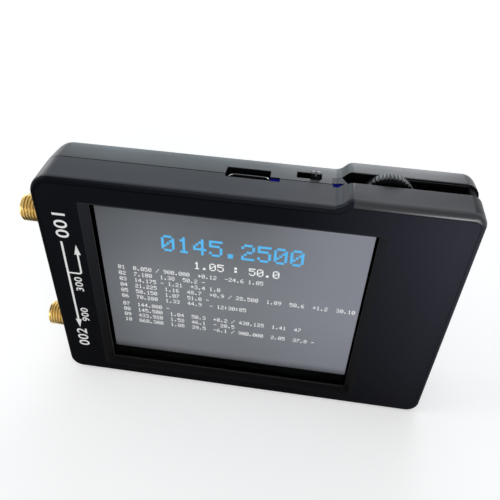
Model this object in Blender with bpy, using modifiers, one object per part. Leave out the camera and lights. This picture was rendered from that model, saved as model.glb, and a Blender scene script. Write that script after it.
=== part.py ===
"""Pocket antenna analyzer, standing on its bottom side with the screen facing -Y.

The case is two plastic shells that meet on a seam. Between them stand the display, the main board
with its sockets and controls, and a pouch cell stuck to the rear shell. X runs to the right seen from
the front, Z is up, and the origin is the middle of the bottom side.
"""
import math

import bmesh
import bpy
from mathutils import Matrix, Vector

MM = 0.001

# How far a cutter runs past the face it cuts, and how deep a joined piece sits in its wall
PAST = 1.0 * MM
ROOTED = 0.4 * MM

# Case: outer size, seam, walls and corner radii
CASE_WIDTH = 88.5 * MM
CASE_HEIGHT = 58.2 * MM
GUARD_HEIGHT = 60.1 * MM
CASE_FRONT = -7.65 * MM
CASE_REAR = 7.65 * MM
SEAM = 0.55 * MM
SEAM_GAP = 0.10 * MM
WALL = 1.6 * MM
FACE_WALL = 1.3 * MM
REAR_WALL = 1.5 * MM
RADIUS_BOTTOM = 3.1 * MM
RADIUS_TOP_LEFT = 4.6 * MM
RADIUS_TOP_RIGHT = 3.0 * MM
RAMP_FOOT_X = 17.1 * MM
RAMP_TOP_X = 19.0 * MM
FRONT_DRAFT = 0.998
REAR_DRAFT = 0.994
FRONT_EDGE = 1.05 * MM
REAR_EDGE = 0.9 * MM
LIP_OUTSIDE = 1.05 * MM
REBATE_OUTSIDE = 0.8 * MM
LIP_DEPTH = 0.9 * MM
GAP = 0.3 * MM

# Window in the face, outer edge on the face and inner edge behind it
WINDOW_OUTER = (-34.1 * MM, 27.3 * MM, 3.8 * MM, 52.8 * MM)
WINDOW_INNER = (-32.6 * MM, 25.8 * MM, 4.5 * MM, 51.9 * MM)

# Display stack, all 50 mm tall behind the window
DISPLAY_LEFT = -35.3 * MM
DISPLAY_RIGHT = 33.9 * MM
DISPLAY_LOW = 3.8 * MM
DISPLAY_HIGH = 53.8 * MM
GASKET_FRONT = -6.15 * MM
GASKET_BACK = -5.85 * MM
TOUCH_FRONT = -5.65 * MM
TOUCH_BACK = -4.65 * MM
PANEL_FRONT = -4.45 * MM
PANEL_BACK = -3.35 * MM
LIGHT_FRONT = -3.15 * MM
LIGHT_BACK = -2.75 * MM
FRAME_FRONT = -4.25 * MM
FRAME_FLOOR = -2.50 * MM
FRAME_BACK = -2.15 * MM

# Main board
BOARD_FRONT = -1.85 * MM
BOARD_BACK = -0.25 * MM
BOARD_LEFT = -41.9 * MM
BOARD_RIGHT = 42.1 * MM
BOARD_LOW = 2.0 * MM
BOARD_HIGH = 56.0 * MM
PART_SEAT = 0.0 * MM

# Screws, from the rear shell through the board into the front shell
SCREW_PLACES = {1: (-38.6 * MM, 5.2 * MM), 2: (39.2 * MM, 5.2 * MM),
                3: (-38.6 * MM, 52.6 * MM), 4: (39.2 * MM, 53.2 * MM)}
BOSS_RADIUS = 2.0 * MM
REAR_BOSS_RADIUS = 2.7 * MM
SCREW_RADIUS = 1.0 * MM
SCREW_HOLE = 1.3 * MM
HEAD_RADIUS = 1.8 * MM
HEAD_HOLE = 2.1 * MM
HEAD_SEAT = 5.40 * MM
HEAD_UNDER = 5.55 * MM
HEAD_TOP = 6.85 * MM
SCREW_TIP = -4.90 * MM
RECESS_ARM = 1.0 * MM
RECESS_HALF = 0.25 * MM
RECESS_DEPTH = 0.7 * MM
HOLE_SIDES = 24

# Coaxial jacks on the left side
JACK_Y = -1.05 * MM
JACK_Z = {1: 45.2 * MM, 2: 12.2 * MM}
JACK_TIP = -49.7 * MM
JACK_SHOULDER = -42.2 * MM
JACK_BACK = -40.6 * MM
JACK_FLANGE = 6.35 * MM
THREAD_RADIUS = 3.1 * MM
THREAD_ROOT = 2.72 * MM
THREAD_PITCH = 0.70 * MM
THREAD_TURNS = 8
JACK_BORE = 2.35 * MM
JACK_HOLE = 3.4 * MM
INSULATOR_DEPTH = 1.4 * MM
CONTACT_DEPTH = 1.2 * MM
FOOT_LENGTH = 3.2 * MM
PIN_NOTCH = (-44.0 * MM, -38.0 * MM)

# USB-C receptacle in the top side
USB_X = -1.0 * MM
USB_Y = 1.42 * MM
USB_WIDTH = 8.94 * MM
USB_HEIGHT = 3.26 * MM
USB_MOUTH = 56.85 * MM
USB_DEPTH = 7.35 * MM
USB_WALL = 0.3 * MM
USB_HOLE = (-5.62 * MM, 3.30 * MM, -0.28 * MM, 3.15 * MM)
USB_ROOM = 0.25 * MM
USB_ROOM_TOP = 57.2 * MM
USB_LAMP_HOLE = (3.30 * MM, 5.30 * MM, -0.25 * MM, 1.05 * MM)
OPENINGS_LOW = 56.2 * MM

# Slide switch
SWITCH_SLOT = (8.55 * MM, 13.5 * MM, 1.80 * MM, 4.05 * MM)
SWITCH_BODY = (6.5 * MM, 15.5 * MM, 0.05 * MM, 4.05 * MM)
SWITCH_BODY_Z = (52.4 * MM, 56.1 * MM)
LEVER_X = (11.3 * MM, 13.2 * MM)
LEVER_Y = (2.3 * MM, 3.5 * MM)
LEVER_TOP = 59.05 * MM
LEVER_NOTCH_DEPTH = 0.55 * MM

# Jog switch in its slot in the guard
WHEEL_X = 26.8 * MM
WHEEL_Z = 55.55 * MM
WHEEL_RADIUS = 5.7 * MM
WHEEL_FRONT = 0.10 * MM
WHEEL_BACK = 2.45 * MM
WHEEL_BORE = 1.4 * MM
KNURL_COUNT = 44
KNURL_DEPTH = 0.35 * MM
POST_RADIUS = 1.1 * MM
POST_HEAD_RADIUS = 1.7 * MM
POST_LENGTH = 3.3 * MM
JOG_SLOT_LEFT = (18.9 * MM, 17.5 * MM)
JOG_SLOT_RIGHT = 42.3 * MM
JOG_SLOT_FRONT = -0.80 * MM
JOG_SLOT_BACK = 2.70 * MM
JOG_SLOT_LOW = 56.3 * MM
JOG_SLOT_END_RADIUS = 1.9 * MM
JOG_BASE_X = (19.0 * MM, 34.0 * MM)
JOG_BASE_Z = (46.2 * MM, 57.0 * MM)
CARRIAGE_X = (21.3 * MM, 31.7 * MM)

# Pouch cell on the rear shell
CELL_X = (-20.0 * MM, 18.0 * MM)
CELL_Z = (6.0 * MM, 36.0 * MM)
CELL_Y = (1.95 * MM, 5.45 * MM)
LEAD_RADIUS = 0.5 * MM
LEAD_AT_PLUG_Y = 1.8 * MM

# Lamps on the board's edge, with light guides in their openings
LAMP_LOW = 55.3 * MM
GUIDE_TOP = 57.9 * MM
STATUS_X = 16.6 * MM
STATUS_Y = 0.38 * MM
STATUS_HOLE_RADIUS = 0.83 * MM
STATUS_GUIDE_LOW = 56.15 * MM
CHARGE_X = (3.85 * MM, 5.05 * MM)
CHARGE_Y = (0.00 * MM, 0.80 * MM)

# Shield cans
CAN_PLACES = {1: ((-34.5 * MM, -12.5 * MM), (38.5 * MM, 50.5 * MM)),
              2: ((-35.5 * MM, -22.5 * MM), (8.5 * MM, 34.5 * MM))}
CAN_TOP = 1.60 * MM
CAN_WALL = 0.3 * MM

PARTS = "pocket_antenna_analyzer"
CUTTERS = "cutters"


def clear_scene():
    """Remove the objects and collections that are in the file."""
    for item in list(bpy.data.objects):
        bpy.data.objects.remove(item, do_unlink=True)
    for group in list(bpy.data.collections):
        bpy.data.collections.remove(group)


def collection(name):
    group = bpy.data.collections.get(name)
    if group is None:
        group = bpy.data.collections.new(name)
        bpy.context.scene.collection.children.link(group)
    return group


def material(name, colour, roughness, metallic=0.0):
    """A plain Principled material, made once under each name."""
    made = bpy.data.materials.get(name)
    if made is None:
        made = bpy.data.materials.new(name)
        made.use_nodes = True
        shader = made.node_tree.nodes["Principled BSDF"]
        shader.inputs["Base Color"].default_value = (*colour, 1.0)
        shader.inputs["Roughness"].default_value = roughness
        shader.inputs["Metallic"].default_value = metallic
    return made


def black_plastic():
    return material("case_plastic", (0.018, 0.019, 0.023), 0.42)


def screw_steel():
    return material("screw_steel", (0.10, 0.10, 0.11), 0.35, 1.0)


def jack_gold():
    return material("jack_gold", (0.83, 0.58, 0.22), 0.25, 1.0)


def tin_plate():
    return material("tin_plate", (0.62, 0.63, 0.65), 0.30, 1.0)


def chip_black():
    return material("chip_black", (0.02, 0.02, 0.02), 0.5)


def new_object(name, shape, paint=None):
    """Link a bmesh as a finished part, or as a cutter where no material is given."""
    mesh = bpy.data.meshes.new(name)
    bmesh.ops.recalc_face_normals(shape, faces=shape.faces)
    shape.to_mesh(mesh)
    shape.free()
    return link_mesh(name, mesh, paint)


def link_mesh(name, mesh, paint=None):
    made = bpy.data.objects.new(name, mesh)
    if paint is None:
        collection(CUTTERS).objects.link(made)
        made.hide_render = True
        made.display_type = "WIRE"
    else:
        collection(PARTS).objects.link(made)
        mesh.materials.append(paint)
    return made


def box(name, x, y, z, paint=None, edge=0.0, segments=2):
    """A block between the limits of x, y and z, with its edges rounded by edge."""
    shape = bmesh.new()
    add_box(shape, x, y, z)
    if edge > 0.0:
        bmesh.ops.bevel(shape, geom=shape.edges[:], offset=edge, segments=segments,
                        profile=0.5, affect="EDGES", material=-1)
    return new_object(name, shape, paint)


def add_box(shape, x, y, z):
    size = Matrix.Diagonal((x[1] - x[0], y[1] - y[0], z[1] - z[0], 1.0))
    middle = Vector((x[0] + x[1], y[0] + y[1], z[0] + z[1])) / 2
    bmesh.ops.create_cube(shape, size=1.0, matrix=Matrix.Translation(middle) @ size)


def add_rod(shape, radius, start, end, sides=32):
    """A round bar from start to end."""
    start = Vector(start)
    run = Vector(end) - start
    turn = run.to_track_quat("Z", "Y").to_matrix().to_4x4()
    place = Matrix.Translation(start + run / 2) @ turn
    bmesh.ops.create_cone(shape, cap_ends=True, segments=sides, radius1=radius, radius2=radius,
                          depth=run.length, matrix=place)


def rod(name, radius, start, end, paint=None, sides=32):
    shape = bmesh.new()
    add_rod(shape, radius, start, end, sides)
    made = new_object(name, shape, paint)
    made.data.shade_smooth()
    made.data.set_sharp_from_angle(angle=math.radians(40))
    return made


def arc(centre_x, centre_z, radius, first, last, steps=8):
    """Points along an arc, angles in degrees."""
    turns = [math.radians(first + (last - first) * step / steps) for step in range(steps + 1)]
    return [(centre_x + radius * math.cos(turn), centre_z + radius * math.sin(turn)) for turn in turns]


def plate(name, outline, near, far, paint=None):
    """A flat outline in x and z, made thick from y near to y far."""
    drawing = bpy.data.curves.new(name + "_outline", "CURVE")
    drawing.dimensions = "2D"
    drawing.fill_mode = "BOTH"
    drawing.extrude = (far - near) / 2
    line = drawing.splines.new("POLY")
    line.points.add(len(outline) - 1)
    for point, (x, z) in zip(line.points, outline):
        point.co = (x, z, 0.0, 1.0)
    line.use_cyclic_u = True
    flat = bpy.data.objects.new(name + "_outline", drawing)
    collection(CUTTERS).objects.link(flat)
    flat.rotation_euler = (math.radians(90), 0.0, 0.0)
    flat.location = (0.0, (near + far) / 2, 0.0)
    return solid_from_curve(name, flat, paint)


def solid_from_curve(name, drawn, paint=None):
    """Turn a curve object into a closed mesh object in world space."""
    bpy.context.view_layer.update()
    seen = drawn.evaluated_get(bpy.context.evaluated_depsgraph_get())
    mesh = bpy.data.meshes.new_from_object(seen)
    mesh.materials.clear()
    shape = bmesh.new()
    shape.from_mesh(mesh)
    bpy.data.meshes.remove(mesh)
    bmesh.ops.remove_doubles(shape, verts=shape.verts, dist=0.001 * MM)
    bmesh.ops.dissolve_limit(shape, angle_limit=math.radians(0.5), verts=shape.verts,
                             edges=shape.edges)
    shape.transform(drawn.matrix_world)
    bpy.data.objects.remove(drawn, do_unlink=True)
    return new_object(name, shape, paint)


def turned(name, profile, origin, direction, paint=None, steps=32):
    """Turn a profile of (radius, height) points, top to bottom, about direction through origin."""
    mesh = bpy.data.meshes.new(name)
    points = [(radius, 0.0, height) for radius, height in profile]
    mesh.from_pydata(points, [(n, n + 1) for n in range(len(points) - 1)], [])
    made = link_mesh(name, mesh, paint)
    made.location = origin
    made.rotation_mode = "QUATERNION"
    made.rotation_quaternion = Vector(direction).to_track_quat("Z", "Y")
    spin = made.modifiers.new("turn", "SCREW")
    spin.angle = math.tau
    spin.steps = steps
    spin.render_steps = steps
    spin.use_merge_vertices = True
    spin.merge_threshold = 0.001 * MM
    spin.use_smooth_shade = True
    return made


def combine(target, other, operation):
    """Cut other from target, or join it to target."""
    change = target.modifiers.new(other.name, "BOOLEAN")
    change.operation = operation
    change.solver = "EXACT"
    change.object = other
    return target


def cut(target, *tools):
    for tool in tools:
        combine(target, tool, "DIFFERENCE")
    return target


def join(target, *pieces):
    for piece in pieces:
        combine(target, piece, "UNION")
    return target


def case_outline(inset=0.0):
    """The case seen from the front, moved inwards by inset, with the raised guard at top right."""
    right = CASE_WIDTH / 2 - inset
    high = CASE_HEIGHT - inset
    guard = GUARD_HEIGHT - inset
    bottom = RADIUS_BOTTOM - inset
    top_left = RADIUS_TOP_LEFT - inset
    top_right = RADIUS_TOP_RIGHT - inset
    slope = math.atan2(GUARD_HEIGHT - CASE_HEIGHT, RAMP_TOP_X - RAMP_FOOT_X)
    shift = inset * math.tan(slope / 2)
    points = arc(right - bottom, inset + bottom, bottom, -90, 0)
    points += arc(right - top_right, guard - top_right, top_right, 0, 90)
    points += [(RAMP_TOP_X + shift, guard), (RAMP_FOOT_X + shift, high)]
    points += arc(-right + top_left, high - top_left, top_left, 90, 180)
    points += arc(-right + bottom, inset + bottom, bottom, 180, 270)
    return points


def draft_and_round(block, outside, draft, edge):
    """Lean the sides of a shell in towards its outside face, and round that face's edge."""
    near = 0.01 * MM
    shape = bmesh.new()
    shape.from_mesh(block.data)
    for corner in shape.verts:
        if abs(corner.co.y - outside) < near:
            corner.co.x *= draft
            corner.co.z *= draft
    rim = [line for line in shape.edges
           if all(abs(corner.co.y - outside) < near for corner in line.verts)]
    bmesh.ops.bevel(shape, geom=rim, offset=edge, segments=2, profile=0.5,
                    affect="EDGES", material=-1)
    # Many-sided faces are never quite flat here, and the cuts need flat ones
    bmesh.ops.triangulate(shape, faces=[side for side in shape.faces if len(side.verts) > 4])
    shape.to_mesh(block.data)
    shape.free()


def window_cutter():
    """The sloping window: wide on the face, narrow behind it."""
    shape = bmesh.new()
    front = CASE_FRONT - PAST
    back = CASE_FRONT + FACE_WALL + PAST
    add_box(shape, (-1, 1), (front, back), (-1, 1))
    for corner in shape.verts:
        depth = (corner.co.y - CASE_FRONT) / FACE_WALL
        left, right, low, high = (outer + (inner - outer) * depth
                                  for outer, inner in zip(WINDOW_OUTER, WINDOW_INNER))
        corner.co.x = left if corner.co.x < 0 else right
        corner.co.z = low if corner.co.z < 0 else high
    return new_object("window_cutter", shape)


def jack_cutter(name, height, to_seam):
    """Room for a jack in the left wall; the front shell's is open to the seam."""
    if to_seam:
        around = [(SEAM + PAST, height - JACK_HOLE), (SEAM + PAST, height + JACK_HOLE)]
        around += arc(JACK_Y, height, JACK_HOLE, 90, 270, 16)
    else:
        around = arc(JACK_Y, height, JACK_HOLE, 0, 337.5, 15)
    left = -CASE_WIDTH / 2 - PAST
    shape = bmesh.new()
    ring = [shape.verts.new((left, y, z)) for y, z in around]
    bmesh.ops.contextual_create(shape, geom=ring)
    grown = bmesh.ops.extrude_face_region(shape, geom=shape.faces[:])
    moved = [item for item in grown["geom"] if isinstance(item, bmesh.types.BMVert)]
    bmesh.ops.translate(shape, verts=moved, vec=(WALL + 2 * PAST, 0, 0))
    return new_object(name, shape)


def jog_slot_cutter():
    """The finger slot in the guard, pointed at its left end and rounded at its right end."""
    end = JOG_SLOT_END_RADIUS
    plan = [(JOG_SLOT_LEFT[0], JOG_SLOT_FRONT), (JOG_SLOT_RIGHT, JOG_SLOT_FRONT)]
    plan += arc(JOG_SLOT_RIGHT - end, JOG_SLOT_BACK - end, end, 0, 90, 6)
    plan.append((JOG_SLOT_LEFT[1], JOG_SLOT_BACK))
    return upright_prism("jog_slot_cutter", plan, JOG_SLOT_LOW, GUARD_HEIGHT + PAST)


def tongue_shape(radius, back):
    """Outline of the status lamp's opening or guide in x and y: round in front, square behind."""
    outline = arc(STATUS_X, STATUS_Y, radius, 180, 360, 12)
    return outline + [(STATUS_X + radius, back), (STATUS_X - radius, back)]


def top_cutters():
    """Openings in the top side that both shells share."""
    low = OPENINGS_LOW
    high = CASE_HEIGHT + PAST
    usb = box("usb_cutter", USB_HOLE[:2], USB_HOLE[2:], (low, high))
    wide = USB_WIDTH / 2 + USB_ROOM
    deep = USB_HEIGHT / 2 + USB_ROOM
    room = box("usb_room_cutter", (USB_X - wide, USB_X + wide), (USB_Y - deep, USB_Y + deep),
               (low, USB_ROOM_TOP))
    lamp = box("usb_lamp_cutter", (USB_LAMP_HOLE[0] - 0.2 * MM, USB_LAMP_HOLE[1]),
               USB_LAMP_HOLE[2:], (low, high))
    status = upright_prism("status_lamp_cutter", tongue_shape(STATUS_HOLE_RADIUS, SEAM + 0.03 * MM),
                           low, high)
    return usb, room, lamp, status, jog_slot_cutter()


def make_front_shell(shared):
    """Front half of the case: face with the window, side walls and four screw bosses."""
    shell = plate("front_shell", case_outline(), CASE_FRONT, SEAM - SEAM_GAP / 2, black_plastic())
    draft_and_round(shell, CASE_FRONT, FRONT_DRAFT, FRONT_EDGE)
    inside = plate("front_inside", case_outline(WALL), CASE_FRONT + FACE_WALL, SEAM + PAST)
    rebate = plate("front_rebate", case_outline(REBATE_OUTSIDE), SEAM - LIP_DEPTH - GAP, SEAM + PAST)
    cut(shell, inside, rebate)
    for number, (x, z) in SCREW_PLACES.items():
        face = CASE_FRONT + FACE_WALL
        boss = rod(f"front_boss_{number}", BOSS_RADIUS, (x, face - ROOTED, z),
                   (x, BOARD_FRONT - GAP, z), sides=HOLE_SIDES)
        pilot = rod(f"front_pilot_{number}", SCREW_HOLE, (x, SCREW_TIP - GAP, z),
                    (x, BOARD_FRONT, z), sides=HOLE_SIDES)
        join(shell, boss)
        cut(shell, pilot)
    cut(shell, window_cutter(), *shared)
    for number, height in JACK_Z.items():
        cut(shell, jack_cutter(f"front_jack_cutter_{number}", height, True))


def make_rear_shell(shared):
    """Rear half of the case: back wall, side walls, seam lip and four counterbored screw bosses."""
    shell = plate("rear_shell", case_outline(), SEAM + SEAM_GAP / 2, CASE_REAR, black_plastic())
    draft_and_round(shell, CASE_REAR, REAR_DRAFT, REAR_EDGE)
    lip = plate("rear_lip", case_outline(LIP_OUTSIDE), SEAM - LIP_DEPTH, SEAM + PAST)
    join(shell, lip)
    inner_face = CASE_REAR - REAR_WALL
    cut(shell, plate("rear_inside", case_outline(WALL), SEAM - 2 * PAST, inner_face))
    for number, (x, z) in SCREW_PLACES.items():
        boss = rod(f"rear_boss_{number}", REAR_BOSS_RADIUS, (x, PART_SEAT + 0.05 * MM, z),
                   (x, inner_face + ROOTED, z), sides=HOLE_SIDES)
        hole = rod(f"rear_hole_{number}", SCREW_HOLE, (x, -PAST, z), (x, HEAD_SEAT + PAST, z),
                   sides=HOLE_SIDES)
        seat = rod(f"rear_seat_{number}", HEAD_HOLE, (x, HEAD_SEAT, z), (x, CASE_REAR + PAST, z),
                   sides=HOLE_SIDES)
        join(shell, boss)
        cut(shell, hole, seat)
    slot = box("switch_slot_cutter", SWITCH_SLOT[:2], SWITCH_SLOT[2:],
               (SWITCH_BODY_Z[1] + 0.1 * MM, CASE_HEIGHT + PAST))
    cut(shell, slot, *shared)
    for number, height in JACK_Z.items():
        cut(shell, jack_cutter(f"rear_jack_cutter_{number}", height, False))


def make_case_screws():
    """Four pan head screws with cross recesses, sunk in the rear shell."""
    for number, (x, z) in SCREW_PLACES.items():
        length = HEAD_TOP - SCREW_TIP
        under = HEAD_UNDER - SCREW_TIP
        profile = [(0.0, length), (HEAD_RADIUS - 0.4 * MM, length), (HEAD_RADIUS, length - 0.4 * MM),
                   (HEAD_RADIUS, under), (SCREW_RADIUS, under), (SCREW_RADIUS, 0.8 * MM),
                   (0.4 * MM, 0.0), (0.0, 0.0)]
        screw = turned(f"case_screw_{number}", profile, (x, SCREW_TIP, z), (0, 1, 0), screw_steel(),
                       HOLE_SIDES)
        arm = RECESS_ARM
        half = RECESS_HALF
        depth = (HEAD_TOP - RECESS_DEPTH, HEAD_TOP + PAST)
        across = box(f"recess_across_{number}", (x - arm, x + arm), depth, (z - half, z + half))
        along = box(f"recess_along_{number}", (x - half, x + half), depth, (z - arm, z + arm))
        cut(screw, across, along)


def make_display():
    """Gasket, touch panel, liquid crystal panel, backlight and metal frame, front to back."""
    wide = (DISPLAY_LEFT, DISPLAY_RIGHT)
    tall = (DISPLAY_LOW, DISPLAY_HIGH)
    foam = material("foam", (0.02, 0.02, 0.02), 0.95)
    gasket = box("window_gasket", (-34.6 * MM, 27.8 * MM), (GASKET_FRONT, GASKET_BACK),
                 (3.9 * MM, 53.2 * MM), foam)
    left, right, low, high = WINDOW_INNER
    cut(gasket, box("gasket_cutter", (left, right), (GASKET_FRONT - PAST, GASKET_BACK + PAST),
                (low, high)))
    glass = material("touch_glass", (0.03, 0.03, 0.035), 0.08)
    box("touch_panel", wide, (TOUCH_FRONT, TOUCH_BACK), tall, glass)
    lit = material("lit_panel", (0.22, 0.22, 0.23), 0.25)
    rim = 0.6 * MM
    inner_wide = (wide[0] + rim, wide[1] - rim)
    inner_tall = (tall[0] + rim, tall[1] - rim)
    box("lcd_panel", inner_wide, (PANEL_FRONT, PANEL_BACK), inner_tall, lit)
    sheet = material("light_guide", (0.85, 0.87, 0.90), 0.3)
    box("backlight_plate", inner_wide, (LIGHT_FRONT, LIGHT_BACK), inner_tall, sheet)
    tray = box("display_frame", wide, (FRAME_FRONT, FRAME_BACK), tall, tin_plate())
    wall = 0.3 * MM
    cut(tray, box("display_tray_cutter", (wide[0] + wall, wide[1] - wall),
                  (FRAME_FRONT - PAST, FRAME_FLOOR), (tall[0] + wall, tall[1] - wall)))


def make_display_lead():
    """Thin flexible lead that leaves the display at the right and lands on the board's front."""
    amber = material("flex_amber", (0.45, 0.20, 0.04), 0.35)
    route = [(34.15 * MM, -3.0 * MM), (35.4 * MM, -3.0 * MM)]
    route += [(36.6 * MM, -2.85 * MM), (37.6 * MM, -2.45 * MM), (38.6 * MM, -2.2 * MM)]
    route += [(40.6 * MM, -2.2 * MM)]
    shape = bmesh.new()
    ends = [shape.verts.new((x, y, 14.0 * MM)) for x, y in route]
    runs = [shape.edges.new(pair) for pair in zip(ends, ends[1:])]
    grown = bmesh.ops.extrude_edge_only(shape, edges=runs)
    moved = [item for item in grown["geom"] if isinstance(item, bmesh.types.BMVert)]
    bmesh.ops.translate(shape, verts=moved, vec=(0, 0, 30.0 * MM))
    lead = new_object("display_lead", shape, amber)
    thick = lead.modifiers.new("thickness", "SOLIDIFY")
    thick.thickness = 0.15 * MM
    thick.offset = 0.0


def make_main_board():
    """Circuit board with notches for the jacks and the jog switch, and four screw holes."""
    mask = material("board_black", (0.012, 0.016, 0.014), 0.35)
    corner = 1.2 * MM
    wide = 2.6 * MM
    outline = arc(BOARD_RIGHT - corner, BOARD_LOW + corner, corner, -90, 0, 4)
    outline += arc(BOARD_RIGHT - corner, BOARD_HIGH - corner, corner, 0, 90, 4)
    outline += arc(BOARD_LEFT + wide, BOARD_HIGH - wide, wide, 90, 180, 4)
    outline += arc(BOARD_LEFT + corner, BOARD_LOW + corner, corner, 180, 270, 4)
    board = plate("main_board", outline, BOARD_FRONT, BOARD_BACK, mask)
    through = (BOARD_FRONT - PAST, BOARD_BACK + PAST)
    cut(board, box("jog_notch", (JOG_BASE_X[0] - GAP, JOG_BASE_X[1] + GAP), through,
                   (JOG_BASE_Z[0] - GAP, CASE_HEIGHT)))
    half = JACK_FLANGE / 2 + GAP
    for number, height in JACK_Z.items():
        cut(board, box(f"jack_notch_{number}", (PIN_NOTCH[0], JACK_BACK + GAP), through,
                       (height - half, height + half)))
        cut(board, box(f"pin_notch_{number}", PIN_NOTCH, through, (height - 1.0 * MM, height + 1.0 * MM)))
    for number, (x, z) in SCREW_PLACES.items():
        cut(board, rod(f"board_hole_{number}", SCREW_HOLE, (x, through[0], z), (x, through[1], z),
                       sides=HOLE_SIDES))


def make_jack(number, height):
    """Edge coaxial jack: square flange, threaded barrel, white insulator and centre contact."""
    origin = (JACK_TIP, JACK_Y, height)
    reach = JACK_SHOULDER - JACK_TIP
    profile = [(0.0, 0.0), (THREAD_ROOT, 0.0)]
    first = 0.35 * MM
    for turn in range(THREAD_TURNS):
        start = first + turn * THREAD_PITCH
        profile += [(THREAD_RADIUS, start + 0.15 * MM), (THREAD_RADIUS, start + 0.35 * MM),
                    (THREAD_ROOT, start + 0.60 * MM)]
    plain = first + THREAD_TURNS * THREAD_PITCH
    profile += [(THREAD_ROOT, plain + 0.1 * MM), (THREAD_RADIUS, plain + 0.3 * MM),
                (THREAD_RADIUS, reach + 0.2 * MM), (0.0, reach + 0.2 * MM)]
    barrel = turned(f"jack_barrel_{number}", [(r, -h) for r, h in profile], origin, (-1, 0, 0))
    half = JACK_FLANGE / 2
    body = box(f"jack_body_{number}", (JACK_SHOULDER, JACK_BACK), (JACK_Y - half, JACK_Y + half),
               (height - half, height + half), jack_gold())
    join(body, barrel)
    for side, (near, far) in enumerate(((-3.0, -2.15), (0.05, 0.9))):
        for row, offset in enumerate((-2.6, 1.5)):
            foot = box(f"jack_foot_{number}_{side}_{row}", (JACK_BACK - ROOTED, JACK_BACK + FOOT_LENGTH),
                       (near * MM, far * MM), (height + offset * MM, height + (offset + 1.1) * MM))
            join(body, foot)
    bore = rod(f"jack_bore_{number}", JACK_BORE, (JACK_TIP - PAST, JACK_Y, height),
               (JACK_BACK + PAST, JACK_Y, height))
    cut(body, bore)
    white = material("white_insulator", (0.80, 0.80, 0.77), 0.45)
    inner = [(0.95 * MM, 0.0), (1.95 * MM, 0.0), (1.95 * MM, -7.6 * MM), (0.95 * MM, -7.6 * MM),
             (0.95 * MM, 0.0)]
    turned(f"jack_insulator_{number}", inner, (JACK_TIP + INSULATOR_DEPTH, JACK_Y, height),
           (-1, 0, 0), white, 24)
    socket = [(0.35 * MM, 0.0), (0.65 * MM, 0.0), (0.65 * MM, -10.4 * MM), (0.0, -10.4 * MM),
              (0.0, -3.0 * MM), (0.35 * MM, -3.0 * MM), (0.35 * MM, 0.0)]
    turned(f"jack_contact_{number}", socket, (JACK_TIP + CONTACT_DEPTH, JACK_Y, height),
           (-1, 0, 0), jack_gold(), 16)


def round_ended(width, height, centre_x, centre_y):
    """Outline of a receptacle mouth: a flat tube with half-round ends, in x and y."""
    radius = height / 2
    flat = width / 2 - radius
    return (arc(centre_x + flat, centre_y, radius, -90, 90, 8)
            + arc(centre_x - flat, centre_y, radius, 90, 270, 8))


def upright_prism(name, outline, low, high, paint=None):
    """An outline in x and y, raised from low to high."""
    shape = bmesh.new()
    ring = [shape.verts.new((x, y, low)) for x, y in outline]
    bmesh.ops.contextual_create(shape, geom=ring)
    grown = bmesh.ops.extrude_face_region(shape, geom=shape.faces[:])
    moved = [item for item in grown["geom"] if isinstance(item, bmesh.types.BMVert)]
    bmesh.ops.translate(shape, verts=moved, vec=(0, 0, high - low))
    return new_object(name, shape, paint)


def make_usb_receptacle():
    """USB-C receptacle: a drawn steel shell, closed behind, round a thin contact tongue."""
    outline = round_ended(USB_WIDTH, USB_HEIGHT, USB_X, USB_Y)
    shell = upright_prism("usb_receptacle", outline, USB_MOUTH - USB_DEPTH, USB_MOUTH, tin_plate())
    mouth = round_ended(USB_WIDTH - 2 * USB_WALL, USB_HEIGHT - 2 * USB_WALL, USB_X, USB_Y)
    cut(shell, upright_prism("usb_mouth_cutter", mouth, USB_MOUTH - USB_DEPTH + USB_WALL,
                             USB_MOUTH + PAST))
    box("usb_tongue", (USB_X - 3.35 * MM, USB_X + 3.35 * MM), (USB_Y - 0.35 * MM, USB_Y + 0.35 * MM),
        (USB_MOUTH - USB_DEPTH + 0.6 * MM, USB_MOUTH - 0.6 * MM), chip_black(), 0.12 * MM, 1)


def make_slide_switch():
    """Slide switch body on the board and its ridged lever, which comes out through the slot."""
    body = box("switch_body", SWITCH_BODY[:2], SWITCH_BODY[2:], SWITCH_BODY_Z, tin_plate(), 0.2 * MM, 1)
    cut(body, box("switch_pocket", (7.3 * MM, 14.7 * MM), (1.2 * MM, 3.8 * MM), (53.9 * MM, 58 * MM)))
    lever = box("power_lever", LEVER_X, LEVER_Y, (55.0 * MM, LEVER_TOP), chip_black(), 0.15 * MM, 1)
    foot = box("lever_foot", (10.65 * MM, 13.85 * MM), (1.5 * MM, 3.5 * MM), (54.2 * MM, 55.8 * MM))
    notch = box("lever_notch", (11.9 * MM, 12.6 * MM), (0.0, 5.0 * MM),
                (LEVER_TOP - LEVER_NOTCH_DEPTH, LEVER_TOP + PAST))
    join(lever, foot)
    cut(lever, notch)


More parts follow.
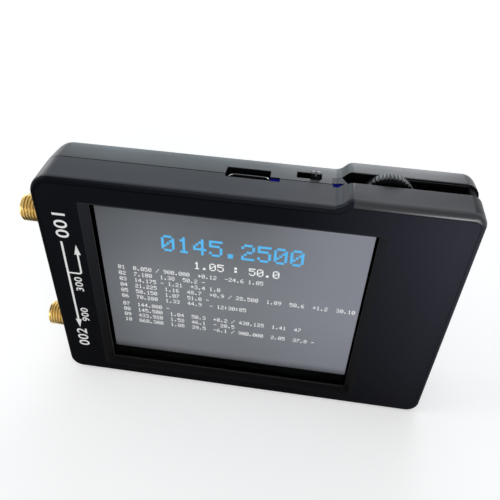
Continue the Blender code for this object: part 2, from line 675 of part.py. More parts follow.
def make_jog_switch():
    """Jog switch: base let into the board, spring-loaded carriage, and the knurled wheel on its post."""
    base = box("jog_base", JOG_BASE_X, (BOARD_FRONT, BOARD_BACK), JOG_BASE_Z, chip_black(), 0.2 * MM, 1)
    cut(base, box("jog_pocket", (CARRIAGE_X[0] - GAP, CARRIAGE_X[1] + GAP), (-1.25 * MM, PAST),
                  (48.6 * MM, CASE_HEIGHT)))
    carriage = box("jog_carriage", CARRIAGE_X, (-0.95 * MM, -0.15 * MM),
                   (49.4 * MM, 57.0 * MM), material("carriage_grey", (0.25, 0.25, 0.26), 0.5))
    plate_face = -0.35 * MM
    neck = WHEEL_BACK + 0.25 * MM
    profile = [(0.0, POST_LENGTH), (POST_HEAD_RADIUS - 0.3 * MM, POST_LENGTH),
               (POST_HEAD_RADIUS, neck - plate_face), (POST_RADIUS, neck - plate_face),
               (POST_RADIUS, 0.0), (0.0, 0.0)]
    post = turned("jog_post", profile, (WHEEL_X, plate_face, WHEEL_Z), (0, 1, 0), steps=24)
    join(carriage, post)
    shape = bmesh.new()
    add_rod(shape, WHEEL_RADIUS, (0, WHEEL_FRONT, 0), (0, WHEEL_BACK, 0), 2 * KNURL_COUNT)
    valley = (WHEEL_RADIUS - KNURL_DEPTH) / WHEEL_RADIUS
    step = math.pi / KNURL_COUNT
    for corner in shape.verts:
        turn = round(math.atan2(corner.co.z, corner.co.x) / step)
        if turn % 2:
            corner.co.x *= valley
            corner.co.z *= valley
    wheel = new_object("jog_wheel", shape, material("wheel_grey", (0.16, 0.16, 0.17), 0.45))
    wheel.location = (WHEEL_X, 0.0, WHEEL_Z)
    cut(wheel, rod("wheel_bore", WHEEL_BORE, (WHEEL_X, WHEEL_FRONT - PAST, WHEEL_Z),
                   (WHEEL_X, WHEEL_BACK + PAST, WHEEL_Z), sides=HOLE_SIDES))


def make_shield_cans():
    """Two folded tin lids over the radio chips, open towards the board."""
    wall = CAN_WALL
    for number, (x, z) in CAN_PLACES.items():
        can = box(f"shield_can_{number}", x, (PART_SEAT, CAN_TOP), z, tin_plate(), 0.25 * MM, 1)
        cut(can, box(f"can_inside_{number}", (x[0] + wall, x[1] - wall), (-PAST, CAN_TOP - wall),
                     (z[0] + wall, z[1] - wall)))


def make_chips():
    """Packages soldered to the rear of the board."""
    packages = {
        "processor_chip": (8.0, 15.0, 42.0, 49.0, 1.2),
        "clock_chip": (-6.5, -3.5, 41.0, 44.0, 0.95),
        "mixer_chip_1": (-32.5, -28.5, 41.5, 46.5, 1.1),
        "mixer_chip_2": (-24.0, -20.0, 41.5, 46.5, 1.1),
        "mixer_chip_3": (-31.5, -27.5, 14.0, 19.0, 1.1),
        "charger_chip": (30.5, 33.4, 24.0, 25.7, 1.0),
        "regulator_chip": (30.5, 33.4, 17.0, 18.7, 1.0),
    }
    for name, (left, right, low, high, tall) in packages.items():
        box(name, (left * MM, right * MM), (PART_SEAT, tall * MM), (low * MM, high * MM),
            chip_black(), 0.15 * MM, 1)
    box("reference_crystal", (0.5 * MM, 3.7 * MM), (PART_SEAT, 0.9 * MM), (41.5 * MM, 44.0 * MM),
        tin_plate(), 0.15 * MM, 1)


def make_lamps():
    """Blue lamps on the rear of the board; their light guides end in the openings of the top side."""
    blue = material("lamp_blue", (0.01, 0.02, 0.55), 0.2)
    half = STATUS_HOLE_RADIUS - 0.25 * MM
    guide_back = 0.46 * MM
    status = upright_prism("status_lamp", tongue_shape(half, guide_back), STATUS_GUIDE_LOW, GUIDE_TOP, blue)
    join(status, box("status_lamp_foot", (STATUS_X - half, STATUS_X + half), (PART_SEAT, 0.75 * MM),
                     (LAMP_LOW, STATUS_GUIDE_LOW + 0.15 * MM)))
    box("charge_lamp", CHARGE_X, CHARGE_Y, (LAMP_LOW, GUIDE_TOP), blue)


def make_battery():
    """Pouch cell with its adhesive tape, plug, socket and two leads."""
    foil = material("cell_foil", (0.55, 0.56, 0.58), 0.35, 0.6)
    box("battery_cell", CELL_X, CELL_Y, CELL_Z, foil, 1.0 * MM, 2)
    tape = material("tape_white", (0.75, 0.75, 0.72), 0.8)
    box("battery_tape", (-14.0 * MM, 12.0 * MM), (5.6 * MM, 6.0 * MM), (10.0 * MM, 32.0 * MM), tape)
    cream = material("plug_cream", (0.72, 0.68, 0.56), 0.5)
    socket = box("battery_socket", (22.5 * MM, 28.5 * MM), (PART_SEAT, 3.6 * MM), (40.0 * MM, 45.5 * MM),
                 cream, 0.2 * MM, 1)
    cut(socket, box("socket_cutter", (23.2 * MM, 27.8 * MM), (0.7 * MM, 2.9 * MM), (39 * MM, 44.5 * MM)))
    box("battery_plug", (23.5 * MM, 27.5 * MM), (1.0 * MM, 2.6 * MM), (38.4 * MM, 44.0 * MM), cream)
    at_cell = (CELL_Y[0] + CELL_Y[1]) / 2 / MM
    at_plug = LEAD_AT_PLUG_Y / MM
    red = [(18.3, at_cell, 31.0), (19.4, at_cell, 31.0), (22.2, 3.1, 31.6), (24.0, 2.2, 33.4),
           (24.5, at_plug, 35.8), (24.5, at_plug, 37.0), (24.5, at_plug, 38.1)]
    black = [(18.3, at_cell, 29.2), (19.6, at_cell, 29.2), (23.4, 3.1, 29.6), (26.0, 2.2, 32.4),
             (26.5, at_plug, 35.4), (26.5, at_plug, 37.0), (26.5, at_plug, 38.1)]
    make_lead("battery_lead_red", red, material("lead_red", (0.55, 0.02, 0.02), 0.4))
    make_lead("battery_lead_black", black, material("lead_black", (0.015, 0.015, 0.015), 0.4))


def smooth_route(points, per_span=4):
    """Points of a Catmull-Rom curve through the given points, in millimetres."""
    guide = [Vector(point) for point in points]
    guide = [2 * guide[0] - guide[1], *guide, 2 * guide[-1] - guide[-2]]
    route = []
    for before, start, end, after in zip(guide, guide[1:], guide[2:], guide[3:]):
        for step in range(per_span):
            t = step / per_span
            route.append(0.5 * (2 * start + (end - before) * t
                                + (2 * before - 5 * start + 4 * end - after) * t ** 2
                                + (3 * start - before - 3 * end + after) * t ** 3))
    route.append(guide[-2])
    return route


def make_lead(name, points, paint):
    """A round lead along a smooth route."""
    drawing = bpy.data.curves.new(name, "CURVE")
    drawing.dimensions = "3D"
    drawing.bevel_depth = LEAD_RADIUS
    drawing.bevel_resolution = 2
    drawing.use_fill_caps = True
    route = smooth_route(points)
    line = drawing.splines.new("POLY")
    line.points.add(len(route) - 1)
    for point, place in zip(line.points, route):
        point.co = (*(place * MM), 1.0)
    made = bpy.data.objects.new(name, drawing)
    collection(PARTS).objects.link(made)
    drawing.materials.append(paint)


def build():
    clear_scene()
    shared = top_cutters()
    make_front_shell(shared)
    make_rear_shell(shared)
    make_case_screws()
    make_display()
    make_display_lead()
    make_main_board()
    for number, height in JACK_Z.items():
        make_jack(number, height)
    make_usb_receptacle()
    make_slide_switch()
    make_jog_switch()
    make_shield_cans()
    make_chips()
    make_lamps()
    make_battery()


build()
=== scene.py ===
import math

import bmesh
import bpy
from mathutils import Matrix, Vector


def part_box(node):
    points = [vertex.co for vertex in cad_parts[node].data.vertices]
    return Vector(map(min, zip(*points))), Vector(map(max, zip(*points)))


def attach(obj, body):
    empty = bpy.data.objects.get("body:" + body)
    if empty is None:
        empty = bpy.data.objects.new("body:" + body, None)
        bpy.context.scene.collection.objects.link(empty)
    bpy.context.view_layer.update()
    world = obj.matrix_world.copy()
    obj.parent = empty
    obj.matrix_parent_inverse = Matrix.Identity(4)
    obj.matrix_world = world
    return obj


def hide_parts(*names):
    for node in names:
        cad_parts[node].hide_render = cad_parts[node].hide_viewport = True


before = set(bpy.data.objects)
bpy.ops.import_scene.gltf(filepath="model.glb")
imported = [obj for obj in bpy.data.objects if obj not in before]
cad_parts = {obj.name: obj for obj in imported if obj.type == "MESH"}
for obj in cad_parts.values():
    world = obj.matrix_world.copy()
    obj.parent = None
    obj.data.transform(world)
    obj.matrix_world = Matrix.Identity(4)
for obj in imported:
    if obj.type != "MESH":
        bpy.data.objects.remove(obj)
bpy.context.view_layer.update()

scene = bpy.context.scene
scene.view_settings.view_transform = "Standard"

# Camera: a hand's reach in front of the standing box, looking down on its screen and top side.
# The focal length and the small sideways shift are those of the photograph.
def placed(name, data):
    """A new object for some data, linked to the scene."""
    made = bpy.data.objects.new(name, data)
    scene.collection.objects.link(made)
    return made


camera = placed("camera", bpy.data.cameras.new("camera"))
camera.location = (0.00977, -0.09468, 0.11879)
camera_turn = Matrix(((0.9891, -0.1163, 0.0901), (0.1436, 0.6308, -0.7626), (0.0318, 0.7672, 0.6406)))
camera.rotation_euler = camera_turn.to_euler()
camera.data.sensor_width = 36
camera.data.lens = 40.68
camera.data.shift_x = 0.014
camera.data.clip_start = 0.005
scene.camera = camera


# Studio: a white room, a pale floor under the box, two softboxes low behind it that grey the
# black top side, a higher one that lights the guard's brow, a card for the ramp, a mild low
# window at the front right for the guard's edge, and a left fill.
def maths(tree, operation, first, second):
    """A Math node on two sockets or numbers."""
    sum_up = tree.nodes.new("ShaderNodeMath")
    sum_up.operation = operation
    for place, given in enumerate((first, second)):
        if isinstance(given, float):
            sum_up.inputs[place].default_value = given
        else:
            tree.links.new(given, sum_up.inputs[place])
    return sum_up.outputs[0]


def ranged(tree, source, low, high, at_low, at_high):
    """A value carried from one range to another."""
    level = tree.nodes.new("ShaderNodeMapRange")
    for name, value in (("From Min", low), ("From Max", high), ("To Min", at_low), ("To Max", at_high)):
        level.inputs[name].default_value = value
    tree.links.new(source, level.inputs["Value"])
    return level.outputs["Result"]


def seen_share(tree, dim, bright):
    """A strength that is bright where the eye, a gloss or a glass looks, and dim for plain light."""
    path = tree.nodes.new("ShaderNodeLightPath").outputs
    either = maths(tree, "MAXIMUM", path["Is Camera Ray"], path["Is Glossy Ray"])
    return ranged(tree, maths(tree, "MAXIMUM", either, path["Is Transmission Ray"]), 0.0, 1.0, dim, bright)


scene.world = bpy.data.worlds.new("white_room")
scene.world.use_nodes = True
room = scene.world.node_tree
room.nodes["Background"].inputs["Color"].default_value = (0.97, 0.985, 1.0, 1.0)
room.links.new(seen_share(room, 0.50, 1.0), room.nodes["Background"].inputs["Strength"])


def softbox(name, place, aim, size, radiance, colour=(1.0, 1.0, 1.0)):
    """A rectangular lamp of that radiance, which lights and is mirrored but isn't itself in view."""
    lamp = bpy.data.lights.new(name, "AREA")
    lamp.shape = "RECTANGLE"
    lamp.size, lamp.size_y = size
    lamp.energy = radiance * math.pi * size[0] * size[1]
    lamp.color = colour
    stand = placed(name, lamp)
    stand.location = place
    stand.rotation_euler = (Vector(aim) - Vector(place)).to_track_quat("-Z", "Y").to_euler()
    stand.visible_camera = False


softbox("back_softbox_left", (-0.25, 0.90, 0.33), (0.0, 0.0, 0.06), (0.40, 0.28), 2.1, (0.66, 0.88, 1.0))
softbox("back_softbox_right", (0.12, 0.90, 0.33), (0.0, 0.0, 0.06), (0.34, 0.28), 4.2, (0.90, 0.94, 1.0))
softbox("high_softbox", (0.16, 0.62, 0.80), (0.0, 0.0, 0.06), (0.36, 0.26), 1.6)
softbox("left_card", (-0.80, 0.55, 0.10), (0.0, 0.0, 0.05), (0.50, 0.50), 1.6)
softbox("right_window", (0.50, -0.84, 0.20), (0.03, 0.0, 0.05), (0.48, 0.36), 5.6)
softbox("left_fill", (-0.75, -0.10, 0.45), (-0.02, 0.0, 0.03), (0.40, 0.40), 3.0)

ground = bmesh.new()
bmesh.ops.create_grid(ground, x_segments=1, y_segments=1, size=3.0)
floor_mesh = bpy.data.meshes.new("floor")
ground.to_mesh(floor_mesh)
ground.free()
floor = placed("floor", floor_mesh)
floor.location.z = -0.0001


def fresh(name):
    """A new node material, its tree and its shader."""
    finish = bpy.data.materials.new(name)
    finish.use_nodes = True
    return finish, finish.node_tree, finish.node_tree.nodes["Principled BSDF"]


paper, paper_tree, paper_shader = fresh("floor_paper")
paper_shader.inputs["Base Color"].default_value = (0.80, 0.80, 0.80, 1.0)
paper_shader.inputs["Roughness"].default_value = 1.0
paper_shader.inputs["Specular IOR Level"].default_value = 0.0
paper_shader.inputs["Emission Color"].default_value = (1.0, 1.0, 1.0, 1.0)
paper_tree.links.new(seen_share(paper_tree, 0.0, 0.42), paper_shader.inputs["Emission Strength"])
floor_mesh.materials.append(paper)


# Front cover: the moulded black shell round the screen, 1.6 mm thick, with the front half of the
# guard for the jog wheel. Its face is finely etched and dull, its sides a little glossier, and a
# radius of 1.25 mm runs round the face. Light and shade are painted into its colours: paler towards
# the face's top and upper right, on the guard's brow and along the round to the right, a painted
# highlight line along the guard's edge, and darker copies on the window's and the openings' walls.
MM = 0.001
CASE_FRONT, SEAM_FRONT, SEAM_REAR, CASE_REAR = -7.65, 0.45, 0.60, 7.65
HALF_WIDTH, TOP, GUARD_TOP = 44.25, 58.2, 60.1


def noise(tree, place, scale, detail=2.0):
    """Noise over a coordinate socket."""
    cloud = tree.nodes.new("ShaderNodeTexNoise")
    cloud.inputs["Scale"].default_value = scale
    cloud.inputs["Detail"].default_value = detail
    tree.links.new(place, cloud.inputs["Vector"])
    return cloud.outputs["Fac"]


def blended(tree, share, first, second):
    """A colour between two, each a plain colour or a socket."""
    mix = tree.nodes.new("ShaderNodeMix")
    mix.data_type = "RGBA"
    for name, given in (("A", first), ("B", second)):
        if isinstance(given, tuple):
            mix.inputs[name].default_value = (*given, 1.0)
        else:
            tree.links.new(given, mix.inputs[name])
    tree.links.new(share, mix.inputs["Factor"])
    return mix.outputs["Result"]


def grain_group():
    """Spark-etched grain: fine pits for a bump, and slow clouds from handling for the gloss."""
    group = bpy.data.node_groups.new("moulded_grain", "ShaderNodeTree")
    group.interface.new_socket("Pit size", in_out="INPUT", socket_type="NodeSocketFloat")
    group.interface.new_socket("Pits", in_out="OUTPUT", socket_type="NodeSocketFloat")
    group.interface.new_socket("Clouds", in_out="OUTPUT", socket_type="NodeSocketFloat")
    given = group.nodes.new("NodeGroupInput")
    out = group.nodes.new("NodeGroupOutput")
    place = group.nodes.new("ShaderNodeTexCoord").outputs["Object"]
    pits = noise(group, place, 1.0)
    pits.node.inputs["Roughness"].default_value = 0.6
    group.links.new(maths(group, "DIVIDE", 1.0, given.outputs["Pit size"]), pits.node.inputs["Scale"])
    group.links.new(pits, out.inputs["Pits"])
    group.links.new(noise(group, place, 55.0, 4.0), out.inputs["Clouds"])
    return group


grain = grain_group()


def moulded(name, colour, roughness, specular, pit_size=0.00022, pit_depth=0.000004, clouding=0.05):
    """A grained plastic: pits on its bump, clouds on its colour and gloss."""
    finish, tree, shader = fresh(name)
    shader.inputs["Specular IOR Level"].default_value = specular
    surface = tree.nodes.new("ShaderNodeGroup")
    surface.node_tree = grain
    surface.inputs["Pit size"].default_value = pit_size
    bump = tree.nodes.new("ShaderNodeBump")
    bump.inputs["Distance"].default_value = pit_depth
    bump.inputs["Strength"].default_value = 0.6
    tree.links.new(surface.outputs["Pits"], bump.inputs["Height"])
    tree.links.new(bump.outputs["Normal"], shader.inputs["Normal"])
    clouds = surface.outputs["Clouds"]
    gloss = ranged(tree, clouds, 0.3, 0.7, roughness - clouding, roughness + clouding)
    tree.links.new(gloss, shader.inputs["Roughness"])
    darker, lighter = (tuple(share * part for part in colour) for share in (0.88, 1.12))
    tree.links.new(blended(tree, clouds, darker, lighter), shader.inputs["Base Color"])
    return finish


def paler(finish, pale, spans, power=1.0):
    """Painted light and shade: the colour drifts to a paler one along each span of an axis."""
    tree = finish.node_tree
    base = tree.nodes["Principled BSDF"].inputs["Base Color"]
    place = tree.nodes.new("ShaderNodeTexCoord")
    parts = tree.nodes.new("ShaderNodeSeparateXYZ")
    tree.links.new(place.outputs["Object"], parts.inputs["Vector"])
    share = 1.0
    for channel, low, high, least in spans:
        share = maths(tree, "MULTIPLY", ranged(tree, parts.outputs[channel], low, high, least, 1.0), share)
    worn = blended(tree, maths(tree, "POWER", share, power), base.links[0].from_socket, pale)
    tree.links.new(worn, base)


# Spans of painted light: the guard's brow paler towards the face, the face paler towards its upper right, the
# round paler towards the right, and the guard's highlight line, which grows to the right and fades at the
# guard's end.
BROW_LIGHT = (("Y", -0.0038, -0.0066, 0.0), ("X", 0.014, 0.024, 0.22))
FACE_LIGHT = (("X", 0.006, 0.040, 0.0), ("Z", 0.0, 0.054, 0.30))
EDGE_LIGHT = (("X", -0.040, 0.016, 0.0),)
GUARD_GLINT = (("X", 0.018, 0.038, 0.0), ("X", 0.0435, 0.0410, 0.15))
front_side_plastic = moulded("front_side_plastic", (0.0070, 0.0100, 0.0180), 0.34, 0.33)
paler(front_side_plastic, (0.052, 0.054, 0.062), BROW_LIGHT, 1.3)
face_plastic = moulded("face_plastic", (0.0021, 0.0023, 0.0029), 0.48, 0.012)
# Painted light on the face: paler towards its top, and towards its upper right.
paler(face_plastic, (0.0060, 0.0065, 0.0090), (("Z", 0.0, 0.056, 0.0),))
paler(face_plastic, (0.036, 0.037, 0.050), FACE_LIGHT, 1.4)
# Painted shade on the window's walls and on the round's underside and right end: darkest at the bottom, paler
# towards the top.
window_plastic = moulded("window_plastic", (0.0012, 0.0014, 0.0018), 0.42, 0.06)
paler(window_plastic, (0.0150, 0.0165, 0.0200), (("Z", 0.012, 0.050, 0.0),))
# The round's upper and lower bands: a lit and a shaded copy of the plastic, both painted paler towards the
# right.
upper_edge = moulded("upper_edge", (0.0030, 0.0040, 0.0070), 0.40, 0.05)
paler(upper_edge, (0.030, 0.032, 0.040), EDGE_LIGHT)
lower_edge = moulded("lower_edge", (0.0025, 0.0032, 0.0055), 0.44, 0.03)
paler(lower_edge, (0.009, 0.010, 0.013), EDGE_LIGHT)
# The round's last band by the face, and its left end: a copy that stays darker than the face, painted shade.
face_rim = moulded("face_rim", (0.0022, 0.0024, 0.0034), 0.48, 0.01)
paler(face_rim, (0.024, 0.024, 0.030), FACE_LIGHT, 1.4)
# A paler, glossier copy on the middle of the guard's round, which brightens its highlight: painted light.
sheen_band = moulded("sheen_band", (0.0070, 0.0072, 0.0090), 0.26, 0.50)
# A painted highlight line at the foot of the guard's round, nearly white towards the right and fading at the
# guard's end.
glint_line = moulded("glint_line", (0.010, 0.011, 0.014), 0.30, 0.30)
paler(glint_line, (0.31, 0.31, 0.32), GUARD_GLINT, 1.9)
# A darker, duller copy on the rounding at the guard's right end: painted shade.
corner_plastic = moulded("corner_plastic", (0.0050, 0.0065, 0.0100), 0.38, 0.17)
# A darker, duller copy for the openings' walls and the window's floor: painted shade in the recesses.
inner_plastic = moulded("inner_plastic", (0.0026, 0.0026, 0.0032), 0.50, 0.05)


def as_drawn(name, shape):
    """A bmesh in millimetres made an object, its faces turned as they were drawn."""
    mesh = bpy.data.meshes.new(name)
    shape.to_mesh(mesh)
    shape.free()
    return placed(name, mesh)


def loose(name, shape):
    """A bmesh in millimetres made an object that later steps cut and finish."""
    bmesh.ops.recalc_face_normals(shape, faces=shape.faces)
    return as_drawn(name, shape)


def mesh_of(thing):
    """The mesh that an object's modifiers or curve make."""
    bpy.context.view_layer.update()
    return bpy.data.meshes.new_from_object(thing.evaluated_get(bpy.context.evaluated_depsgraph_get()))


def carve(block, tool, operation="DIFFERENCE"):
    """Cut a tool out of a block, or join it on, and drop the tool."""
    change = block.modifiers.new("carve", "BOOLEAN")
    change.operation = operation
    change.solver = "EXACT"
    change.object = tool
    carved = mesh_of(block)
    block.modifiers.clear()
    block.data = carved
    bpy.data.objects.remove(tool)
    return block


def finish_piece(block, finishes, body, stands_for=()):
    """Bring a piece to metres, give it its materials and shading, and set it on its body."""
    crease = math.radians(32)
    block.data.transform(Matrix.Scale(MM, 4))
    block.data.name = block.name
    for place, finish in enumerate(finishes):
        if place < len(block.data.materials):
            block.data.materials[place] = finish
        else:
            block.data.materials.append(finish)
    block.data.shade_smooth()
    block.data.set_sharp_from_angle(angle=crease)
    even = block.modifiers.new("even_normals", "WEIGHTED_NORMAL")
    even.keep_sharp = True
    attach(block, body)
    if stands_for:
        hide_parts(*stands_for)
    return block


def flat_shape(points, radii=(), steps=6):
    """A flat face through some points in a new bmesh, each corner rounded by its radius."""
    shape = bmesh.new()
    ring = [shape.verts.new(point) for point in points]
    bmesh.ops.contextual_create(shape, geom=ring)
    for point, radius in zip(ring, radii):
        if radius:
            bmesh.ops.bevel(shape, geom=[point], offset=radius, segments=steps, profile=0.5,
                            affect="VERTICES", material=-1)
    shape.faces.ensure_lookup_table()
    return shape


def case_plan(inset, depth):
    """The case seen from the front, flat at a depth, with round corners and the guard's ramp."""
    shift = inset * math.tan(math.radians(22.5))
    side, guard, top = HALF_WIDTH - inset, GUARD_TOP - inset, TOP - inset
    points = [(-side, depth, inset), (side, depth, inset), (side, depth, guard),
              (19.0 + shift, depth, guard), (17.1 + shift, depth, top), (-side, depth, top)]
    return flat_shape(points, [3.1 - inset, 3.1 - inset, 3.0 - inset, 0.7, 0.9, 4.6 - inset], 12)


def thicken(plan, depth):
    """Extrude a flat plan towards the rear."""
    grown = bmesh.ops.extrude_face_region(plan, geom=plan.faces[:])
    moved = [item for item in grown["geom"] if isinstance(item, bmesh.types.BMVert)]
    bmesh.ops.translate(plan, verts=moved, vec=(0, depth, 0))
    return plan


def rim_at(shape, depth):
    """The edges that lie at a depth."""
    return [edge for edge in shape.edges if all(abs(end.co.y - depth) < 0.02 for end in edge.verts)]


def soften(shape, edges, width, steps):
    """Round some edges over."""
    bmesh.ops.bevel(shape, geom=edges, offset=width, segments=steps, profile=0.5,
                    affect="EDGES", material=-1)


def slice_at(shape, depths):
    """Cut edge loops round a shell at some depths, so that its sides can bend there."""
    for depth in depths:
        everything = shape.verts[:] + shape.edges[:] + shape.faces[:]
        bmesh.ops.bisect_plane(shape, geom=everything, plane_co=(0, depth, 0), plane_no=(0, 1, 0))


def lean(shape):
    """Draw a shell's sides in towards its outer face, as its mould needs, the rear one's in a curve."""
    draft, rear_curve = 0.002, 0.004
    for point in shape.verts:
        if point.co.y < SEAM_FRONT:
            share = 1 - draft * (SEAM_FRONT - point.co.y) / (SEAM_FRONT - CASE_FRONT)
        else:
            reach = max(0.0, point.co.y - SEAM_REAR) / (CASE_REAR - SEAM_REAR)
            share = 1 - draft * reach - rear_curve * reach * reach
        point.co.x *= share
        point.co.z *= share


def crown(shape, width, drop):
    """Let the guard's top fall away a little towards the face before its edge turns."""
    foot, rise = 58.1, 1.7
    for point in shape.verts:
        near = max(0.0, 1 - (point.co.y - CASE_FRONT) / width)
        raised = min(1.0, max(0.0, (point.co.z - foot) / rise))
        point.co.z -= drop * near * near * raised
    shape.normal_update()


def bar(shape, radius, start, end, sides=40):
    """A round bar from start to end."""
    start = Vector(start)
    run = Vector(end) - start
    turn = run.to_track_quat("Z", "Y").to_matrix().to_4x4()
    bmesh.ops.create_cone(shape, cap_ends=True, segments=sides, radius1=radius, radius2=radius,
                          depth=run.length, matrix=Matrix.Translation(start + run / 2) @ turn)


def bar_tool(radius, start, end, sides=40):
    """A round bar as a cutter or a boss."""
    shape = bmesh.new()
    bar(shape, radius, start, end, sides)
    return loose("tool", shape)


def block_shape(x, y, z):
    """A plain block between limits, in a new bmesh."""
    shape = bmesh.new()
    size = Matrix.Diagonal((x[1] - x[0], y[1] - y[0], z[1] - z[0], 1.0))
    middle = Vector((x[0] + x[1], y[0] + y[1], z[0] + z[1])) / 2
    bmesh.ops.create_cube(shape, size=1.0, matrix=Matrix.Translation(middle) @ size)
    return shape


def next_level(shape, cap, move, share):
    """Extrude a cap by a move, and scale its new end by share about its own middle."""
    inner = len(shape.faces) > 1
    grown = bmesh.ops.extrude_face_region(shape, geom=[cap])
    lid = next(item for item in grown["geom"] if isinstance(item, bmesh.types.BMFace))
    if inner:
        bmesh.ops.delete(shape, geom=[cap], context="FACES_ONLY")
    bmesh.ops.translate(shape, verts=lid.verts[:], vec=move)
    middle = lid.calc_center_bounds()
    bmesh.ops.scale(shape, verts=lid.verts[:], vec=share, space=Matrix.Translation(-middle))
    return lid


def top_opening(corners, radii, low, surface, flare):
    """A cutter for an opening in the top side, whose rim is rounded over by flare."""
    shape = flat_shape([(x, y, low) for x, y in corners], radii)
    wide = max(x for x, y in corners) - min(x for x, y in corners)
    deep = max(y for x, y in corners) - min(y for x, y in corners)
    cap = next_level(shape, shape.faces[0], (0, 0, surface - flare - low), (1, 1, 1))
    before_rise = before_grow = 0.0
    for step in range(1, 5):
        angle = math.radians(22.5 * step)
        rise = flare * math.sin(angle)
        grow = flare * (1 - math.cos(angle))
        share = (1 + 2 * (grow - before_grow) / (wide + 2 * before_grow),
                 1 + 2 * (grow - before_grow) / (deep + 2 * before_grow), 1)
        cap = next_level(shape, cap, (0, 0, rise - before_rise), share)
        before_rise, before_grow = rise, grow
    next_level(shape, cap, (0, 0, 1.5), (1, 1, 1))
    lean(shape)
    return loose("tool", shape)


def shared_openings():
    """The openings in the top side that both covers have a half of."""
    usb = top_opening([(-5.62, -0.50), (3.30, -0.50), (3.30, 3.15), (-5.62, 3.15)],
                      [0.25, 0.05, 0.3, 0.3], 56.2, TOP, 0.12)
    room = loose("tool", block_shape((-5.72, 3.72), (-0.46, 3.30), (56.0, 57.2)))
    lamp = top_opening([(3.05, -0.60), (5.30, -0.60), (5.30, 0.80), (3.05, 0.80)],
                       [0.05, 0.15, 0.15, 0.05], 56.2, TOP, 0.06)
    status = top_opening([(15.72, -0.45), (16.95, -0.45), (17.85, 0.02), (17.05, 0.82), (15.72, 0.92)],
                         [0.40, 0.30, 0.1, 0.1, 0], 56.2, TOP, 0.04)
    jog = top_opening([(18.5, -1.05), (42.0, -1.05), (42.0, 2.70), (17.5, 2.70)],
                      [0.1, 0.3, 0.3, 0.12], 56.3, GUARD_TOP, 0.16)
    past_corner = loose("tool", block_shape((41.9, 46.0), (-1.05, 2.70), (56.3, 62.0)))
    return usb, room, lamp, status, jog, past_corner


def window_tool():
    """The sloping window: 61 x 49 mm on the face, narrower behind it, with soft outer edges."""
    shape = flat_shape([(x, -5.3, z) for x, z in ((-32.6, 4.5), (25.8, 4.5), (25.8, 51.9), (-32.6, 51.9))],
                       [0.45] * 4, 5)
    cap = next_level(shape, shape.faces[0], (0, -1.05, 0), (1, 1, 1))
    cap = next_level(shape, cap, (0, -1.15, -0.03), (1 + 2.7 / 58.4, 1, 1 + 1.45 / 47.4))
    cap = next_level(shape, cap, (0, -0.10, 0), (1 + 0.35 / 61.1, 1, 1 + 0.35 / 48.9))
    cap = next_level(shape, cap, (0, -0.05, 0), (1 + 0.45 / 61.4, 1, 1 + 0.45 / 49.2))
    next_level(shape, cap, (0, -1.0, 0), (1, 1, 1))
    return loose("tool", shape)


SCREW_PLACES = [(-38.6, 5.2), (39.2, 5.2), (-38.6, 52.6), (39.2, 53.2)]
JACK_Y, JACK_HEIGHTS, JACK_ROOM = -1.05, (45.2, 12.2), 3.4


def jack_room(height):
    """Room for a jack's barrel in the left wall."""
    return bar_tool(JACK_ROOM, (-46.0, JACK_Y, height), (-41.5, JACK_Y, height), 48)


front_shape = thicken(case_plan(0.0, CASE_FRONT), SEAM_FRONT - CASE_FRONT)
slice_at(front_shape, [CASE_FRONT + 1.4, CASE_FRONT + 2.0, CASE_FRONT + 2.7, CASE_FRONT + 3.4])
lean(front_shape)
crown(front_shape, 3.4, 0.30)
soften(front_shape, rim_at(front_shape, CASE_FRONT), 1.25, 8)
soften(front_shape, rim_at(front_shape, SEAM_FRONT), 0.06, 2)
front_cover = loose("front_cover", front_shape)
carve(front_cover, loose("tool", thicken(case_plan(1.6, CASE_FRONT + 1.3), 9.0)))
carve(front_cover, loose("tool", thicken(case_plan(0.8, -0.75), 3.0)))
for x, z in SCREW_PLACES:
    carve(front_cover, bar_tool(2.0, (x, -6.75, z), (x, -2.15, z)), "UNION")
    carve(front_cover, bar_tool(1.3, (x, -5.2, z), (x, -1.0, z)))
carve(front_cover, window_tool())
tab = loose("tool", thicken(case_plan(0.02, 0.2), 2.50))
carve(tab, loose("tool", block_shape((15.7, 19.5), (0.2, 2.70), (56.7, 62.0))), "INTERSECT")
carve(front_cover, tab, "UNION")
for opening in shared_openings():
    carve(front_cover, opening)
for height in JACK_HEIGHTS:
    carve(front_cover, jack_room(height))
    way_in = block_shape((-46.0, -41.5), (JACK_Y, 1.5), (height - JACK_ROOM, height + JACK_ROOM))
    carve(front_cover, loose("tool", way_in))
SIDE, FACE, WINDOW, SHEEN_BAND, INNER, UPPER, LOWER, RIM, LINE_GLINT, CORNER = range(10)
# Each face gets its copy of the black plastic by where it points and lies: lit and shaded copies that paint
# light and shade, with a painted highlight line at the foot of the guard's round.
for side in front_cover.data.polygons:
    x, y, z = side.center
    from_face = math.degrees(math.acos(max(-1.0, min(1.0, -side.normal.y))))
    if y < -6.2 and from_face < 86:
        if from_face < 3:
            side.material_index = FACE
        elif -34.5 < x < 27.6 and 3.4 < z < 53.2:
            side.material_index = INNER if side.normal.z > 0.3 else WINDOW
        elif from_face < 12:
            side.material_index = RIM
        elif side.normal.z > 0.2 and x > 19.8:
            side.material_index = LINE_GLINT if from_face < 22 else SHEEN_BAND if from_face < 57 else SIDE
        elif side.normal.z > 0.2 and x > 16.6:
            side.material_index = FACE if from_face < 57 else UPPER
        elif side.normal.z > 0.2:
            side.material_index = LOWER if from_face < 42 else UPPER if from_face < 65 else SIDE
        elif side.normal.x < -0.2:
            side.material_index = RIM
        else:
            side.material_index = WINDOW if from_face > 45 else FACE
    elif abs(x) < 43.4 and 55.2 < z and abs(side.normal.z) < 0.5 and y > -6.0:
        side.material_index = INNER
    elif x > 41 and z > 55 and side.normal.x > 0.12:
        side.material_index = CORNER
